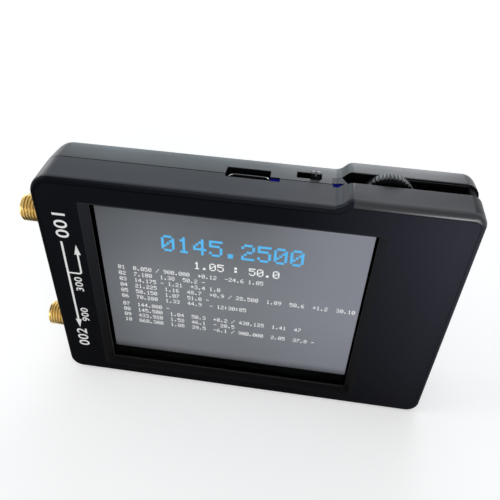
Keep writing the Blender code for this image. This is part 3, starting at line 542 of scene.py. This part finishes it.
front_finishes = [front_side_plastic, face_plastic, window_plastic, sheen_band, inner_plastic, upper_edge,
                  lower_edge, face_rim, glint_line, corner_plastic]
finish_piece(front_cover, front_finishes, "case", ["front_shell"])


# Rear cover: the other moulded shell, with its seam lip, four counterbored screw bosses and the
# rear half of the guard, which has a thin ledge behind the wheel and a collar at the slot's end,
# coloured as a darker, duller copy of the plastic: painted shade. It leans in more than the front
# one, and its colour is painted a little paler than the front's and its gloss raised, so its top
# side looks paler.
rear_plastic = moulded("rear_plastic", (0.012, 0.014, 0.017), 0.36, 0.43)
collar_plastic = moulded("collar_plastic", (0.0045, 0.0048, 0.0058), 0.50, 0.03)

rear_shape = thicken(case_plan(0.0, SEAM_REAR), CASE_REAR - SEAM_REAR)
slice_at(rear_shape, [2.0, 3.4, 4.8, 6.2])
lean(rear_shape)
soften(rear_shape, rim_at(rear_shape, CASE_REAR), 0.9, 5)
soften(rear_shape, rim_at(rear_shape, SEAM_REAR), 0.06, 2)
rear_cover = loose("rear_cover", rear_shape)
carve(rear_cover, loose("tool", thicken(case_plan(1.05, -0.45), 1.9)), "UNION")
carve(rear_cover, loose("tool", thicken(case_plan(1.6, -1.5), 7.65)))
for x, z in SCREW_PLACES:
    carve(rear_cover, bar_tool(2.7, (x, 0.05, z), (x, 6.55, z)), "UNION")
    carve(rear_cover, bar_tool(1.3, (x, -1.0, z), (x, 6.4, z)))
    seat = bmesh.new()
    bar(seat, 2.1, (x, 5.4, z), (x, 7.5, z), 48)
    seat.faces.ensure_lookup_table()
    outer = max(seat.faces, key=lambda side: side.calc_center_median().y)
    outer = next_level(seat, outer, (0, 0.15, 0), (2.25 / 2.1, 1, 2.25 / 2.1))
    next_level(seat, outer, (0, 1.0, 0), (1, 1, 1))
    carve(rear_cover, loose("tool", seat))
carve(rear_cover, top_opening([(8.55, 1.80), (13.5, 1.80), (13.5, 4.05), (8.55, 4.05)],
                              [0.25, 0.25, 0.25, 0.25], 56.2, TOP, 0.12))
tab_room = block_shape((15.66, 19.5), (0.0, 2.86), (56.65, 62.0))
carve(rear_cover, loose("tool", tab_room))
for opening in shared_openings():
    carve(rear_cover, opening)
ledge = loose("tool", thicken(case_plan(0.38, 2.35), 0.6))
carve(ledge, loose("tool", block_shape((27.0, 43.4), (2.35, 2.95), (59.1, 62.0))), "INTERSECT")
carve(rear_cover, ledge, "UNION")
collar = loose("tool", thicken(case_plan(0.55, -0.95), 4.1))
carve(collar, loose("tool", thicken(case_plan(1.6, -2.0), 6.0)))
carve(collar, loose("tool", block_shape((41.7, 46.0), (-0.95, 3.0), (54.0, 62.0))), "INTERSECT")
carve(rear_cover, collar, "UNION")
for height in JACK_HEIGHTS:
    carve(rear_cover, jack_room(height))
REAR_INNER, COLLAR = 1, 2
# The collar gets the darker copy, painted shade, and the openings' walls the inner one, painted shade in the
# recesses.
for side in rear_cover.data.polygons:
    x, y, z = side.center
    if x > 41.6 and z > 56.4 and y < 2.6:
        side.material_index = COLLAR
    elif abs(x) < 43.2 and 55.2 < z and abs(side.normal.z) < 0.5 and y < 6.0:
        side.material_index = REAR_INNER
rear_finishes = [rear_plastic, inner_plastic, collar_plastic]
finish_piece(rear_cover, rear_finishes, "case", ["rear_shell"])


# Case screws: four blackened pan head screws with cross recesses, sunk in the rear cover and
# driven through the board into the front cover's bosses.
def clouded(name, dark, pale, roughness, metallic=0.0, size=90.0, stretch=(1, 1, 1),
            bump_size=0.0, specular=0.5):
    """A finish whose colour and gloss drift between two tones, with a fine uneven surface."""
    finish, tree, shader = fresh(name)
    spread = 0.06
    shader.inputs["Metallic"].default_value = metallic
    shader.inputs["Specular IOR Level"].default_value = specular
    place = tree.nodes.new("ShaderNodeTexCoord")
    drawn = tree.nodes.new("ShaderNodeMapping")
    drawn.inputs["Scale"].default_value = stretch
    tree.links.new(place.outputs["Object"], drawn.inputs["Vector"])
    drift = noise(tree, drawn.outputs["Vector"], size, 4.0)
    tree.links.new(blended(tree, drift, dark, pale), shader.inputs["Base Color"])
    gloss = ranged(tree, drift, 0.0, 1.0, roughness - spread, roughness + spread)
    tree.links.new(gloss, shader.inputs["Roughness"])
    if bump_size:
        bump = tree.nodes.new("ShaderNodeBump")
        bump.inputs["Distance"].default_value = bump_size
        bump.inputs["Strength"].default_value = 0.5
        tree.links.new(drift, bump.inputs["Height"])
        tree.links.new(bump.outputs["Normal"], shader.inputs["Normal"])
    return finish


def turned(name, profile, centre, axis, steps=48):
    """Turn a profile of (radius, distance along the axis) points about an axis through centre."""
    along = Vector(axis)
    across = Vector((0, 0, 1))
    shape = bmesh.new()
    points = [shape.verts.new(Vector(centre) + across * radius + along * reach) for radius, reach in profile]
    lines = [shape.edges.new(pair) for pair in zip(points, points[1:])]
    bmesh.ops.spin(shape, geom=points + lines, cent=centre, axis=along, dvec=(0, 0, 0),
                   angle=math.tau, steps=steps, use_merge=True)
    bmesh.ops.remove_doubles(shape, verts=shape.verts, dist=0.0005)
    return loose(name, shape)


screw_black = clouded("screw_black", (0.045, 0.046, 0.050), (0.11, 0.11, 0.115), 0.34, 1.0, 900.0,
                      bump_size=0.000004)
for number, (x, z) in enumerate(SCREW_PLACES, 1):
    profile = [(0.0, 6.72), (0.6, 6.80), (1.2, 6.85), (1.5, 6.78), (1.72, 6.60), (1.8, 6.35), (1.8, 5.70),
               (1.72, 5.55), (1.0, 5.55), (1.0, -4.1), (0.4, -4.9), (0.0, -4.9)]
    screw = turned(f"screw_{number}", profile, (x, 0, z), (0, 1, 0))
    for turn in (0, 90):
        wing = block_shape((-1.05, 1.05), (0, 3), (-0.22, 0.22))
        for point in wing.verts:
            if point.co.y < 1:
                point.co.x *= 0.55
        twist = Matrix.Rotation(math.radians(turn + 20 * number), 4, "Y")
        wing.transform(Matrix.Translation((x, 6.05, z)) @ twist)
        carve(screw, loose("tool", wing))
    finish_piece(screw, [screw_black], "case", [f"case_screw_{number}"])


# Display: a touch panel behind a foam gasket, a black ink border on the glass's back, the lit
# liquid crystal panel, its white light guide, and a tin tray. All lie loose between the covers.
def dress(node, finish):
    """Give a solid that stays as it is its finish."""
    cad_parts[node].data.materials.clear()
    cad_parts[node].data.materials.append(finish)


glass, glass_tree, glass_shader = fresh("touch_glass")
glass_shader.inputs["Base Color"].default_value = (0.93, 0.95, 0.95, 1.0)
glass_shader.inputs["Transmission Weight"].default_value = 1.0
glass_shader.inputs["IOR"].default_value = 1.045
smear = noise(glass_tree, glass_tree.nodes.new("ShaderNodeTexCoord").outputs["Object"], 120.0)
glass_tree.links.new(ranged(glass_tree, smear, 0.0, 1.0, 0.02, 0.07), glass_shader.inputs["Roughness"])
dress("touch_panel", glass)

lit, lit_tree, lit_shader = fresh("lit_screen")
lit_shader.inputs["Base Color"].default_value = (0.01, 0.01, 0.012, 1.0)
lit_shader.inputs["Roughness"].default_value = 0.4
lit_shader.inputs["Specular IOR Level"].default_value = 0.1
lit_shader.inputs["Emission Strength"].default_value = 1.0
lit_place = lit_tree.nodes.new("ShaderNodeTexCoord")
lit_parts = lit_tree.nodes.new("ShaderNodeSeparateXYZ")
lit_tree.links.new(lit_place.outputs["Object"], lit_parts.inputs["Vector"])


def glow_share(channel, low, high, at_low, at_high):
    """A value that runs along X or Z of the panel from one level to another."""
    share = ranged(lit_tree, lit_parts.outputs[channel], low, high, at_low, at_high)
    share.node.interpolation_type = "SMOOTHSTEP"
    return share


def times(first, second):
    return maths(lit_tree, "MULTIPLY", first, second)


def corner_shade(left, right, depth, low):
    """The dimmer upper left, as a share: full left of left, and gone right of right or under low."""
    across = glow_share("X", left, right, depth, 0.0)
    return maths(lit_tree, "SUBTRACT", 1.0, times(across, glow_share("Z", low, 0.050, 0.0, 1.0)))


top_shade = times(corner_shade(-0.006, 0.020, 0.31, 0.030), corner_shade(-0.004, 0.018, 0.12, 0.047))
edge_shade = times(glow_share("X", -0.034, -0.018, 0.72, 1.0), glow_share("Z", 0.004, 0.028, 0.80, 1.0))
rim_shade = glow_share("Z", 0.0062, 0.0098, 0.30, 1.0)
tone = blended(lit_tree, glow_share("X", -0.004, 0.026, 0.0, 1.0), (0.183, 0.190, 0.206),
               (0.226, 0.230, 0.268))
shaded = blended(lit_tree, times(times(top_shade, edge_shade), rim_shade), (0.0, 0.0, 0.0), tone)
lit_tree.links.new(shaded, lit_shader.inputs["Emission Color"])
dress("lcd_panel", lit)

ink = clouded("border_ink", (0.0003, 0.0003, 0.0005), (0.0007, 0.0007, 0.0010), 0.40, specular=0.01)
border = loose("screen_border", block_shape((-35.1, 33.7), (-4.60, -4.55), (4.0, 53.6)))
carve(border, loose("tool", block_shape((-32.2, 25.4), (-5.0, -4.0), (7.2, 50.4))))
finish_piece(border, [ink], "case")

dress("window_gasket", clouded("gasket_foam", (0.008, 0.008, 0.008), (0.02, 0.02, 0.02), 0.9, size=1500.0,
                               bump_size=0.00005))
dress("backlight_plate", clouded("light_guide_white", (0.78, 0.80, 0.84), (0.86, 0.88, 0.90), 0.35))
tin = clouded("tin_plate", (0.50, 0.51, 0.53), (0.66, 0.67, 0.69), 0.30, 1.0, 300.0, (1, 1, 14),
              bump_size=0.000003)
dress("display_frame", tin)
dress("display_lead", clouded("amber_film", (0.36, 0.15, 0.02), (0.50, 0.24, 0.05), 0.30, size=200.0))


# Screen content: a made-up page of plain numbers, drawn in the panel's own square dots. Light
# blue digits at the top, a smaller white row below them, and ten rows of small white figures.
DOTS = {"0": "01110 10001 10011 10101 11001 10001 01110", "1": "00100 01100 00100 00100 00100 00100 01110",
        "2": "01110 10001 00001 00110 01000 10000 11111", "3": "01110 10001 00001 00110 00001 10001 01110",
        "4": "00010 00110 01010 10010 11111 00010 00010", "5": "11111 10000 11110 00001 00001 10001 01110",
        "6": "00110 01000 10000 11110 10001 10001 01110", "7": "11111 00001 00010 00100 01000 01000 01000",
        "8": "01110 10001 10001 01110 10001 10001 01110", "9": "01110 10001 10001 01111 00001 00010 01100",
        ".": "00000 00000 00000 00000 00000 01100 01100", "-": "00000 00000 00000 11111 00000 00000 00000",
        "+": "00000 00100 00100 11111 00100 00100 00000", ":": "00000 01100 01100 00000 01100 01100 00000",
        "/": "00001 00001 00010 00100 01000 10000 10000", " ": "00000 00000 00000 00000 00000 00000 00000"}


def dotted(name, rows, finish):
    """Rows of dot figures just off the panel's front; a row is its text, left, top and dot size."""
    shape = bmesh.new()
    upright = Matrix.Rotation(math.radians(90), 4, "X")
    for text, left, top, wide, high in rows:
        for place, figure in enumerate(text):
            for down, line in enumerate(DOTS[figure].split()):
                start = 0
                while "1" in line[start:]:
                    start = line.index("1", start)
                    end = (line + "0").index("0", start)
                    across = left + (6 * place + (start + end) / 2) * wide
                    middle = (across, -4.62, top - (down + 0.5) * high)
                    size = Matrix.Diagonal(((end - start) * wide, 1, high, 1))
                    bmesh.ops.create_grid(shape, x_segments=1, y_segments=1, size=0.5,
                                          matrix=Matrix.Translation(middle) @ size @ upright)
                    start = end
    return finish_piece(as_drawn(name, shape), [finish], "case")


def glowing(name, colour, strength):
    """Lit dots, a little uneven from one to the next."""
    finish, tree, shader = fresh(name)
    shader.inputs["Base Color"].default_value = (0.02, 0.02, 0.02, 1.0)
    shader.inputs["Specular IOR Level"].default_value = 0.1
    shader.inputs["Emission Strength"].default_value = strength
    uneven = noise(tree, tree.nodes.new("ShaderNodeTexCoord").outputs["Object"], 400.0)
    dimmer = tuple(0.85 * part for part in colour)
    tree.links.new(blended(tree, uneven, dimmer, colour), shader.inputs["Emission Color"])
    return finish


dots_blue = glowing("dots_blue", (0.10, 0.52, 0.95), 1.0)
dots_white = glowing("dots_white", (1.0, 1.0, 1.0), 1.0)
dotted("large_figures", [("0145.2500", -18.4, 44.75, 0.573, 0.62)], dots_blue)
dotted("middle_figures", [("1.05 : 50.0", -11.5, 38.35, 0.288, 0.30)], dots_white)
small_rows = ["01  0.050 / 900.000  +0.12  -24.6 1.05", "02  7.100  1.38  50.2 -",
              "03  14.175 - 1.21  +3.4 1.0", "04  21.225  1.16  48.7  +0.9 / 28.500  1.09  50.6  +1.2  30.10",
              "05  50.150  1.07  51.0 -", "06  70.200  1.33  44.9  - 12:30:05", "",
              "07  144.000 -", "08  145.500  1.04  50.3  +0.2 / 430.125  1.41  47",
              "09  433.920  1.52  46.1  - 20.5", "10  868.300  1.88  39.5  -6.1 / 900.000  2.05  37.8 -"]
row_tops = [34.85, 33.06, 31.27, 29.48, 27.69, 25.90, 24.6, 23.37, 21.58, 19.79, 18.0]
dotted("small_figures", [(text, -28.8, top, 0.144, 0.165) for text, top in zip(small_rows, row_tops)],
       glowing("dots_small", (1.0, 1.0, 1.0), 1.0))


# Print: white ink on the left of the face, two port numbers, a line that ends in an arrow and
# branches into a second one, and two small numbers beside them.
print_white = clouded("print_white", (0.78, 0.78, 0.76), (0.92, 0.92, 0.91), 0.55, size=700.0, specular=0.2)


def printed_number(name, text, high, long, left, low):
    """A number printed up the face: its figures are high, and the whole is long."""
    letters = bpy.data.curves.new(name, "FONT")
    letters.body = text
    letters.offset = 0.012
    letters.space_character = 1.08
    drawn = placed(name, letters)
    mesh = mesh_of(drawn)
    bpy.data.objects.remove(drawn)
    wide = [point.co.x for point in mesh.vertices]
    tall = [point.co.y for point in mesh.vertices]
    mesh.transform(Matrix.Translation((-min(wide), -min(tall), 0)))
    mesh.transform(Matrix.Diagonal((long / (max(wide) - min(wide)), high / (max(tall) - min(tall)), 1, 1)))
    up_the_face = ((0, -1, 0, left + high), (0, 0, -1, CASE_FRONT - 0.015), (1, 0, 0, low), (0, 0, 0, 1))
    mesh.transform(Matrix(up_the_face))
    return finish_piece(placed(name, mesh), [print_white], "case")


def printed_line(name, points, width):
    """A line of ink along points on the face, laid down as a flattened bead."""
    path = bpy.data.curves.new(name, "CURVE")
    path.dimensions = "3D"
    path.bevel_depth = width / 2
    path.bevel_resolution = 3
    path.use_fill_caps = True
    run = path.splines.new("POLY")
    run.points.add(len(points) - 1)
    for point, (x, z) in zip(run.points, points):
        point.co = (x, 0.0, z, 1.0)
    drawn = placed(name, path)
    mesh = mesh_of(drawn)
    bpy.data.objects.remove(drawn)
    mesh.transform(Matrix.Translation((0, CASE_FRONT - 0.005, 0)) @ Matrix.Diagonal((1, 0.06, 1, 1)))
    return finish_piece(placed(name, mesh), [print_white], "case")


def arrow_head(name, tip, base, half):
    """A three-sided ink arrow head on the face, from its base to its tip along Z."""
    corners = ((tip[0], tip[1]), (tip[0] + half, base), (tip[0] - half, base))
    head = thicken(flat_shape([(x, CASE_FRONT - 0.012, z) for x, z in corners]), 0.02)
    return finish_piece(loose(name, head), [print_white], "case")


printed_number("port_number_1", "001", 2.9, 6.4, -40.2, 43.3)
printed_number("port_number_2", "002", 2.6, 6.1, -40.5, 9.0)
printed_number("small_number_1", "300", 1.8, 4.3, -38.3, 27.9)
printed_number("small_number_2", "900", 1.8, 4.5, -38.4, 17.9)
printed_line("main_line", [(-39.4, 42.2), (-39.4, 18.0)], 0.50)
elbow = [(-36.9 + 0.6 * math.sin(math.radians(turn)), 33.95 - 0.6 * math.cos(math.radians(turn)))
         for turn in range(0, 91, 15)]
printed_line("branch_line", [(-39.4, 33.35), *elbow, (-36.3, 39.2)], 0.45)
arrow_head("main_arrow", (-39.4, 15.5), 18.3, 0.72)
arrow_head("branch_arrow", (-36.3, 41.7), 38.9, 0.72)


# Coaxial jacks: gold-plated brass, a square flange on the board's edge and a 1/4-36 threaded
# barrel through the left wall, with a white insulator and a slotted centre contact.
JACK_TIP, JACK_SHOULDER, JACK_BORE, HALF_FLANGE = -49.7, -42.2, 2.35, 3.175
gold = clouded("jack_gold", (0.96, 0.76, 0.36), (1.0, 0.88, 0.55), 0.20, 1.0, 500.0, bump_size=0.000006)
shaded_gold_root = clouded("jack_gold_root", (0.62, 0.42, 0.14), (0.84, 0.64, 0.28), 0.30, 1.0, 600.0)
insulator_white = clouded("insulator_white", (0.74, 0.74, 0.70), (0.84, 0.84, 0.81), 0.42, size=300.0)


def threaded(name, height):
    """The barrel: one pitch of the thread swept along its helix, and cut square at both ends."""
    pitch, steps, turns = 0.7055, 44, 12
    first = JACK_TIP - 0.9
    flank = [(0.0, 2.62), (0.07, 2.60), (0.29, 2.96), (0.345, 3.00), (0.40, 2.96), (0.62, 2.60),
             (pitch, 2.62)]
    shape = bmesh.new()
    points = [shape.verts.new((first + along, JACK_Y, height + radius)) for along, radius in flank]
    lines = [shape.edges.new(pair) for pair in zip(points, points[1:])]
    bmesh.ops.spin(shape, geom=points + lines, cent=(0, JACK_Y, height), axis=(1, 0, 0),
                   dvec=(pitch / steps, 0, 0), angle=math.tau * turns, steps=steps * turns)
    bmesh.ops.remove_doubles(shape, verts=shape.verts, dist=0.002)
    for place, way in ((JACK_TIP + 0.42, -1), (JACK_SHOULDER - 1.35, 1)):
        everything = shape.verts[:] + shape.edges[:] + shape.faces[:]
        bmesh.ops.bisect_plane(shape, geom=everything, plane_co=(place, 0, 0), plane_no=(way, 0, 0),
                               clear_outer=True)
        bmesh.ops.holes_fill(shape, edges=[edge for edge in shape.edges if edge.is_boundary
                                           and all(abs(end.co.x - place) < 0.001 for end in edge.verts)])
    return loose(name, shape)


for number, height in enumerate(JACK_HEIGHTS, 1):
    jack = threaded(f"jack_{number}", height)
    collar = turned("tool", [(0, -49.7), (2.62, -49.7), (2.86, -49.46), (2.70, -49.2), (0, -49.2)],
                    (0, JACK_Y, height), (1, 0, 0))
    carve(jack, collar, "UNION")
    shoulder = turned("tool", [(0, -43.7), (2.80, -43.7), (3.08, -43.4), (3.08, -42.0), (0, -42.0)],
                      (0, JACK_Y, height), (1, 0, 0))
    carve(jack, shoulder, "UNION")
    flange = block_shape((JACK_SHOULDER, -40.6), (JACK_Y - HALF_FLANGE, JACK_Y + HALF_FLANGE),
                         (height - HALF_FLANGE, height + HALF_FLANGE))
    soften(flange, flange.edges[:], 0.15, 2)
    carve(jack, loose("tool", flange), "UNION")
    for near in (-3.0, 0.05):
        for offset in (-2.6, 1.5):
            foot = block_shape((-41.0, -37.4), (near, near + 0.85), (height + offset, height + offset + 1.1))
            carve(jack, loose("tool", foot), "UNION")
    carve(jack, bar_tool(JACK_BORE, (JACK_TIP - 1, JACK_Y, height), (-39.6, JACK_Y, height), 56))
    rim = turned("tool", [(0, -49.9), (2.55, -49.9), (JACK_BORE, -49.5), (0, -49.5)],
                 (0, JACK_Y, height), (1, 0, 0))
    carve(jack, rim)
    # The thread's roots and the flanks near them get a darker gold: painted shade in the grooves.
    for side in jack.data.polygons:
        middle = side.center
        from_axis = math.hypot(middle.y - JACK_Y, middle.z - height)
        if middle.x < -42.3 and from_axis < 2.80 and abs(side.normal.x) < 0.9:
            side.material_index = 1
    finish_piece(jack, [gold, shaded_gold_root], "case", [f"jack_body_{number}"])
    sleeve = [(0.95, -48.3), (1.85, -48.3), (1.95, -48.2), (1.95, -40.7), (0.95, -40.7), (0.95, -48.3)]
    insulator = turned(f"insulator_{number}", sleeve, (0, JACK_Y, height), (1, 0, 0))
    finish_piece(insulator, [insulator_white], "case", [f"jack_insulator_{number}"])
    pin = [(0, -45.5), (0.35, -45.5), (0.35, -48.4), (0.45, -48.5), (0.62, -48.4), (0.65, -48.2),
           (0.65, -38.1), (0, -38.1)]
    contact = turned(f"contact_{number}", pin, (0, JACK_Y, height), (1, 0, 0), 24)
    for slit in (block_shape((-49, -46.2), (JACK_Y - 0.08, JACK_Y + 0.08), (height - 1, height + 1)),
                 block_shape((-49, -46.2), (JACK_Y - 1, JACK_Y + 1), (height - 0.08, height + 0.08))):
        carve(contact, loose("tool", slit))
    finish_piece(contact, [gold], "case", [f"jack_contact_{number}"])


# USB-C receptacle: a drawn steel shell soldered to the board, its rounded mouth 1.35 mm below the
# top side, round a thin black tongue with contacts on both faces.
USB_X, USB_Y, USB_MOUTH = -1.0, 1.42, 56.85


def stadium(width, height, low, high):
    """A prism with half-round ends on X, from low to high."""
    half, deep = width / 2, height / 2
    corners = ((-half, -deep), (half, -deep), (half, deep), (-half, deep))
    shape = flat_shape([(USB_X + x, USB_Y + y, low) for x, y in corners], [deep * 0.98] * 4, 10)
    next_level(shape, shape.faces[0], (0, 0, high - low), (1, 1, 1))
    return loose("tool", shape)


usb = stadium(8.94, 3.26, 49.5, USB_MOUTH)
usb.name = "usb_shell"
carve(usb, stadium(8.30, 2.62, 49.8, 58.0))
lip = bmesh.new()
lip.from_mesh(usb.data)
mouth = [edge for edge in lip.edges if all(abs(end.co.z - USB_MOUTH) < 0.01 for end in edge.verts)
         and any(abs(side.normal.z) < 0.5 for side in edge.link_faces)]
bmesh.ops.bevel(lip, geom=mouth, offset=0.13, segments=4, profile=0.5, affect="EDGES", material=-1)
lip.to_mesh(usb.data)
lip.free()
usb_steel = clouded("usb_steel", (0.14, 0.145, 0.16), (0.22, 0.225, 0.24), 0.30, 1.0, 300.0)
usb_end_glint = clouded("usb_end_glint", (0.60, 0.61, 0.63), (0.80, 0.81, 0.83), 0.14, 1.0, 300.0)
# The shell's half-round ends get a bright, smooth copy of the steel, painted glints, and the rest a dark
# copy, painted shade.
for side in usb.data.polygons:
    side.material_index = 1 if abs(side.center.x - USB_X) > 3.4 else 0
finish_piece(usb, [usb_steel, usb_end_glint], "case", ["usb_receptacle"])
chip_epoxy = clouded("chip_epoxy", (0.012, 0.012, 0.013), (0.026, 0.026, 0.027), 0.50, size=600.0,
                     bump_size=0.00001)
dress("usb_tongue", chip_epoxy)


# Power switch: a small slide switch on the board. Its tin body stays in the case, and the black
# nylon lever with its finger notch and sloping brow slides along the slot.
dress("switch_body", tin)
lever_lit_top = moulded("lever_lit_top", (0.0100, 0.0110, 0.0140), 0.26, 0.75, 0.0004, 0.000006)
lever_shaded_side = moulded("lever_shaded_side", (0.0015, 0.0015, 0.0020), 0.40, 0.05, 0.0004, 0.000006)
lever_shape = block_shape((11.3, 13.2), (2.3, 3.5), (55.0, 59.05))
soften(lever_shape, lever_shape.edges[:], 0.10, 3)
lever = loose("lever", lever_shape)
lever_foot = block_shape((10.65, 13.85), (1.5, 3.5), (54.2, 55.8))
carve(lever, loose("tool", lever_foot), "UNION")
brow = block_shape((11.35, 13.15), (1.75, 2.4), (58.36, 59.0))
for point in brow.verts:
    if point.co.z > 58.7 and point.co.y < 2:
        point.co.y = 2.32
carve(lever, loose("tool", brow), "UNION")
notch = flat_shape([(x, 0.0, z) for x, z in ((11.95, 59.4), (12.60, 59.4), (12.33, 58.7), (12.22, 58.7))])
carve(lever, loose("tool", thicken(notch, 5.0)))
# The lever's tops get a paler, glossier copy of the nylon, painted light, and its sides a near-black one,
# painted shade.
for side in lever.data.polygons:
    side.material_index = 0 if side.normal.z > 0.75 else 1
finish_piece(lever, [lever_lit_top, lever_shaded_side], "power_lever", ["power_lever"])


# Jog switch: a black base let into the board, a dark grey carriage that sinks when pressed, and a
# plastic wheel on its post, whose ribs die out towards the rear. It stands out of the guard's slot.
dress("jog_base", chip_epoxy)
dress("jog_carriage", moulded("carriage_grey", (0.014, 0.014, 0.016), 0.42, 0.15))
wheel_rim = moulded("wheel_rim", (0.012, 0.013, 0.015), 0.38, 0.34, 0.00030, 0.00003, 0.10)
wheel_disc = moulded("wheel_disc", (0.0040, 0.0042, 0.0050), 0.40, 0.12)
RIBS, RIB_HEIGHT, WHEEL_RADIUS, WHEEL_WIDTH = 44, 0.40, 5.7, 2.35
WHEEL_X, WHEEL_Z = 26.8, 55.55
wheel_shape = bmesh.new()
bmesh.ops.create_cone(wheel_shape, cap_ends=True, segments=4 * RIBS, radius1=WHEEL_RADIUS,
                      radius2=WHEEL_RADIUS, depth=WHEEL_WIDTH,
                      matrix=Matrix.Rotation(math.radians(90), 4, "X"))
for point in wheel_shape.verts:
    turn = math.atan2(point.co.z, point.co.x)
    rib = (0.5 - point.co.y / WHEEL_WIDTH) * (0.5 + 0.5 * math.cos(RIBS * turn))
    share = 1 - RIB_HEIGHT / WHEEL_RADIUS * (1 - rib)
    point.co.x *= share
    point.co.z *= share
rims = rim_at(wheel_shape, -WHEEL_WIDTH / 2) + rim_at(wheel_shape, WHEEL_WIDTH / 2)
soften(wheel_shape, rims, 0.16, 2)
bmesh.ops.translate(wheel_shape, verts=wheel_shape.verts, vec=(WHEEL_X, 1.275, WHEEL_Z))
wheel = loose("knurled_wheel", wheel_shape)
dish = [(0, -0.5), (4.6, -0.5), (4.6, 0.10), (4.3, 0.34), (0, 0.34)]
carve(wheel, turned("tool", dish, (WHEEL_X, 0, WHEEL_Z), (0, 1, 0), 64))
carve(wheel, bar_tool(1.4, (WHEEL_X, -1, WHEEL_Z), (WHEEL_X, 4, WHEEL_Z), 32))
# The disc's front faces get a darker, duller copy than the ribbed rim: painted shade.
for side in wheel.data.polygons:
    if side.normal.y < -0.6:
        side.material_index = 1
finish_piece(wheel, [wheel_rim, wheel_disc], "jog_wheel", ["jog_wheel"])


# Lamps: two small blue lamps on the board's edge. Each has a clear guide moulded on it that
# fills its opening in the top side, one beside the USB mouth and one in front of the ramp.
lamp_blue = glowing("lamp_blue", (0.004, 0.004, 0.10), 1.0)
lamp_shader = lamp_blue.node_tree.nodes["Principled BSDF"]
lamp_shader.inputs["Base Color"].default_value = (0.001, 0.001, 0.01, 1.0)
lamp_shader.inputs["Specular IOR Level"].default_value = 0.0


def light_guide(name, corners, radii, top, node):
    """The lamp's block, with a head that fills its opening and follows the foot of the ramp."""
    low, high = (Vector(corner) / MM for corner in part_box(node))
    floor_z, foot_x, foot_radius = 56.25, 16.2, 2.17
    head = flat_shape([(x, y, floor_z) for x, y in corners], radii)
    next_level(head, head.faces[0], (0, 0, top - floor_z), (1, 1, 1))
    for cut in (16.4, 16.7, 17.0, 17.3, 17.6):
        everything = head.verts[:] + head.edges[:] + head.faces[:]
        bmesh.ops.bisect_plane(head, geom=everything, plane_co=(cut, 0, 0), plane_no=(1, 0, 0))
    for point in head.verts:
        past = point.co.x - foot_x
        if point.co.z > 57 and past > 0:
            point.co.z += foot_radius - math.sqrt(foot_radius ** 2 - past ** 2)
    guide = loose(name, head)
    carve(guide, loose("tool", block_shape((low.x, high.x), (low.y, high.y), (low.z, 56.4))), "UNION")
    finish_piece(guide, [lamp_blue], "case", [node])


light_guide("status_guide", [(15.75, -0.41), (16.91, -0.41), (17.76, 0.03), (17.01, 0.77), (15.75, 0.87)],
            [0.38, 0.28, 0.08, 0.08, 0.02], 58.04, "status_lamp")
light_guide("charge_guide", [(3.40, -0.54), (5.24, -0.54), (5.24, 0.74), (3.40, 0.74)],
            [0.1, 0.1, 0.1, 0.1], 57.9, "charge_lamp")


# Main board: glass-fibre laminate under black solder mask, with the chips, the crystal and two
# tin shield cans soldered on its rear.
dress("main_board", clouded("solder_mask", (0.008, 0.011, 0.010), (0.016, 0.020, 0.018), 0.32, size=260.0))
for node in ("processor_chip", "clock_chip", "mixer_chip_1", "mixer_chip_2", "mixer_chip_3",
             "charger_chip", "regulator_chip"):
    dress(node, chip_epoxy)
for node in ("reference_crystal", "shield_can_1", "shield_can_2"):
    dress(node, tin)


# Battery: a foil pouch cell stuck to the rear cover with foam tape, and its two leads to a cream
# plug in a socket on the board.
dress("battery_cell", clouded("cell_foil", (0.48, 0.49, 0.51), (0.62, 0.63, 0.65), 0.34, 0.7, 60.0,
                              bump_size=0.00012))
dress("battery_tape", clouded("foam_tape", (0.66, 0.66, 0.62), (0.80, 0.80, 0.77), 0.8, size=900.0,
                              bump_size=0.00003))
plug_nylon = clouded("plug_nylon", (0.66, 0.61, 0.48), (0.77, 0.73, 0.61), 0.45, size=400.0)
dress("battery_socket", plug_nylon)
dress("battery_plug", plug_nylon)
dress("battery_lead_red", clouded("lead_red", (0.42, 0.012, 0.010), (0.58, 0.03, 0.02), 0.38, size=500.0))
lead_black = clouded("lead_black", (0.010, 0.010, 0.010), (0.022, 0.022, 0.022), 0.38, size=500.0)
dress("battery_lead_black", lead_black)
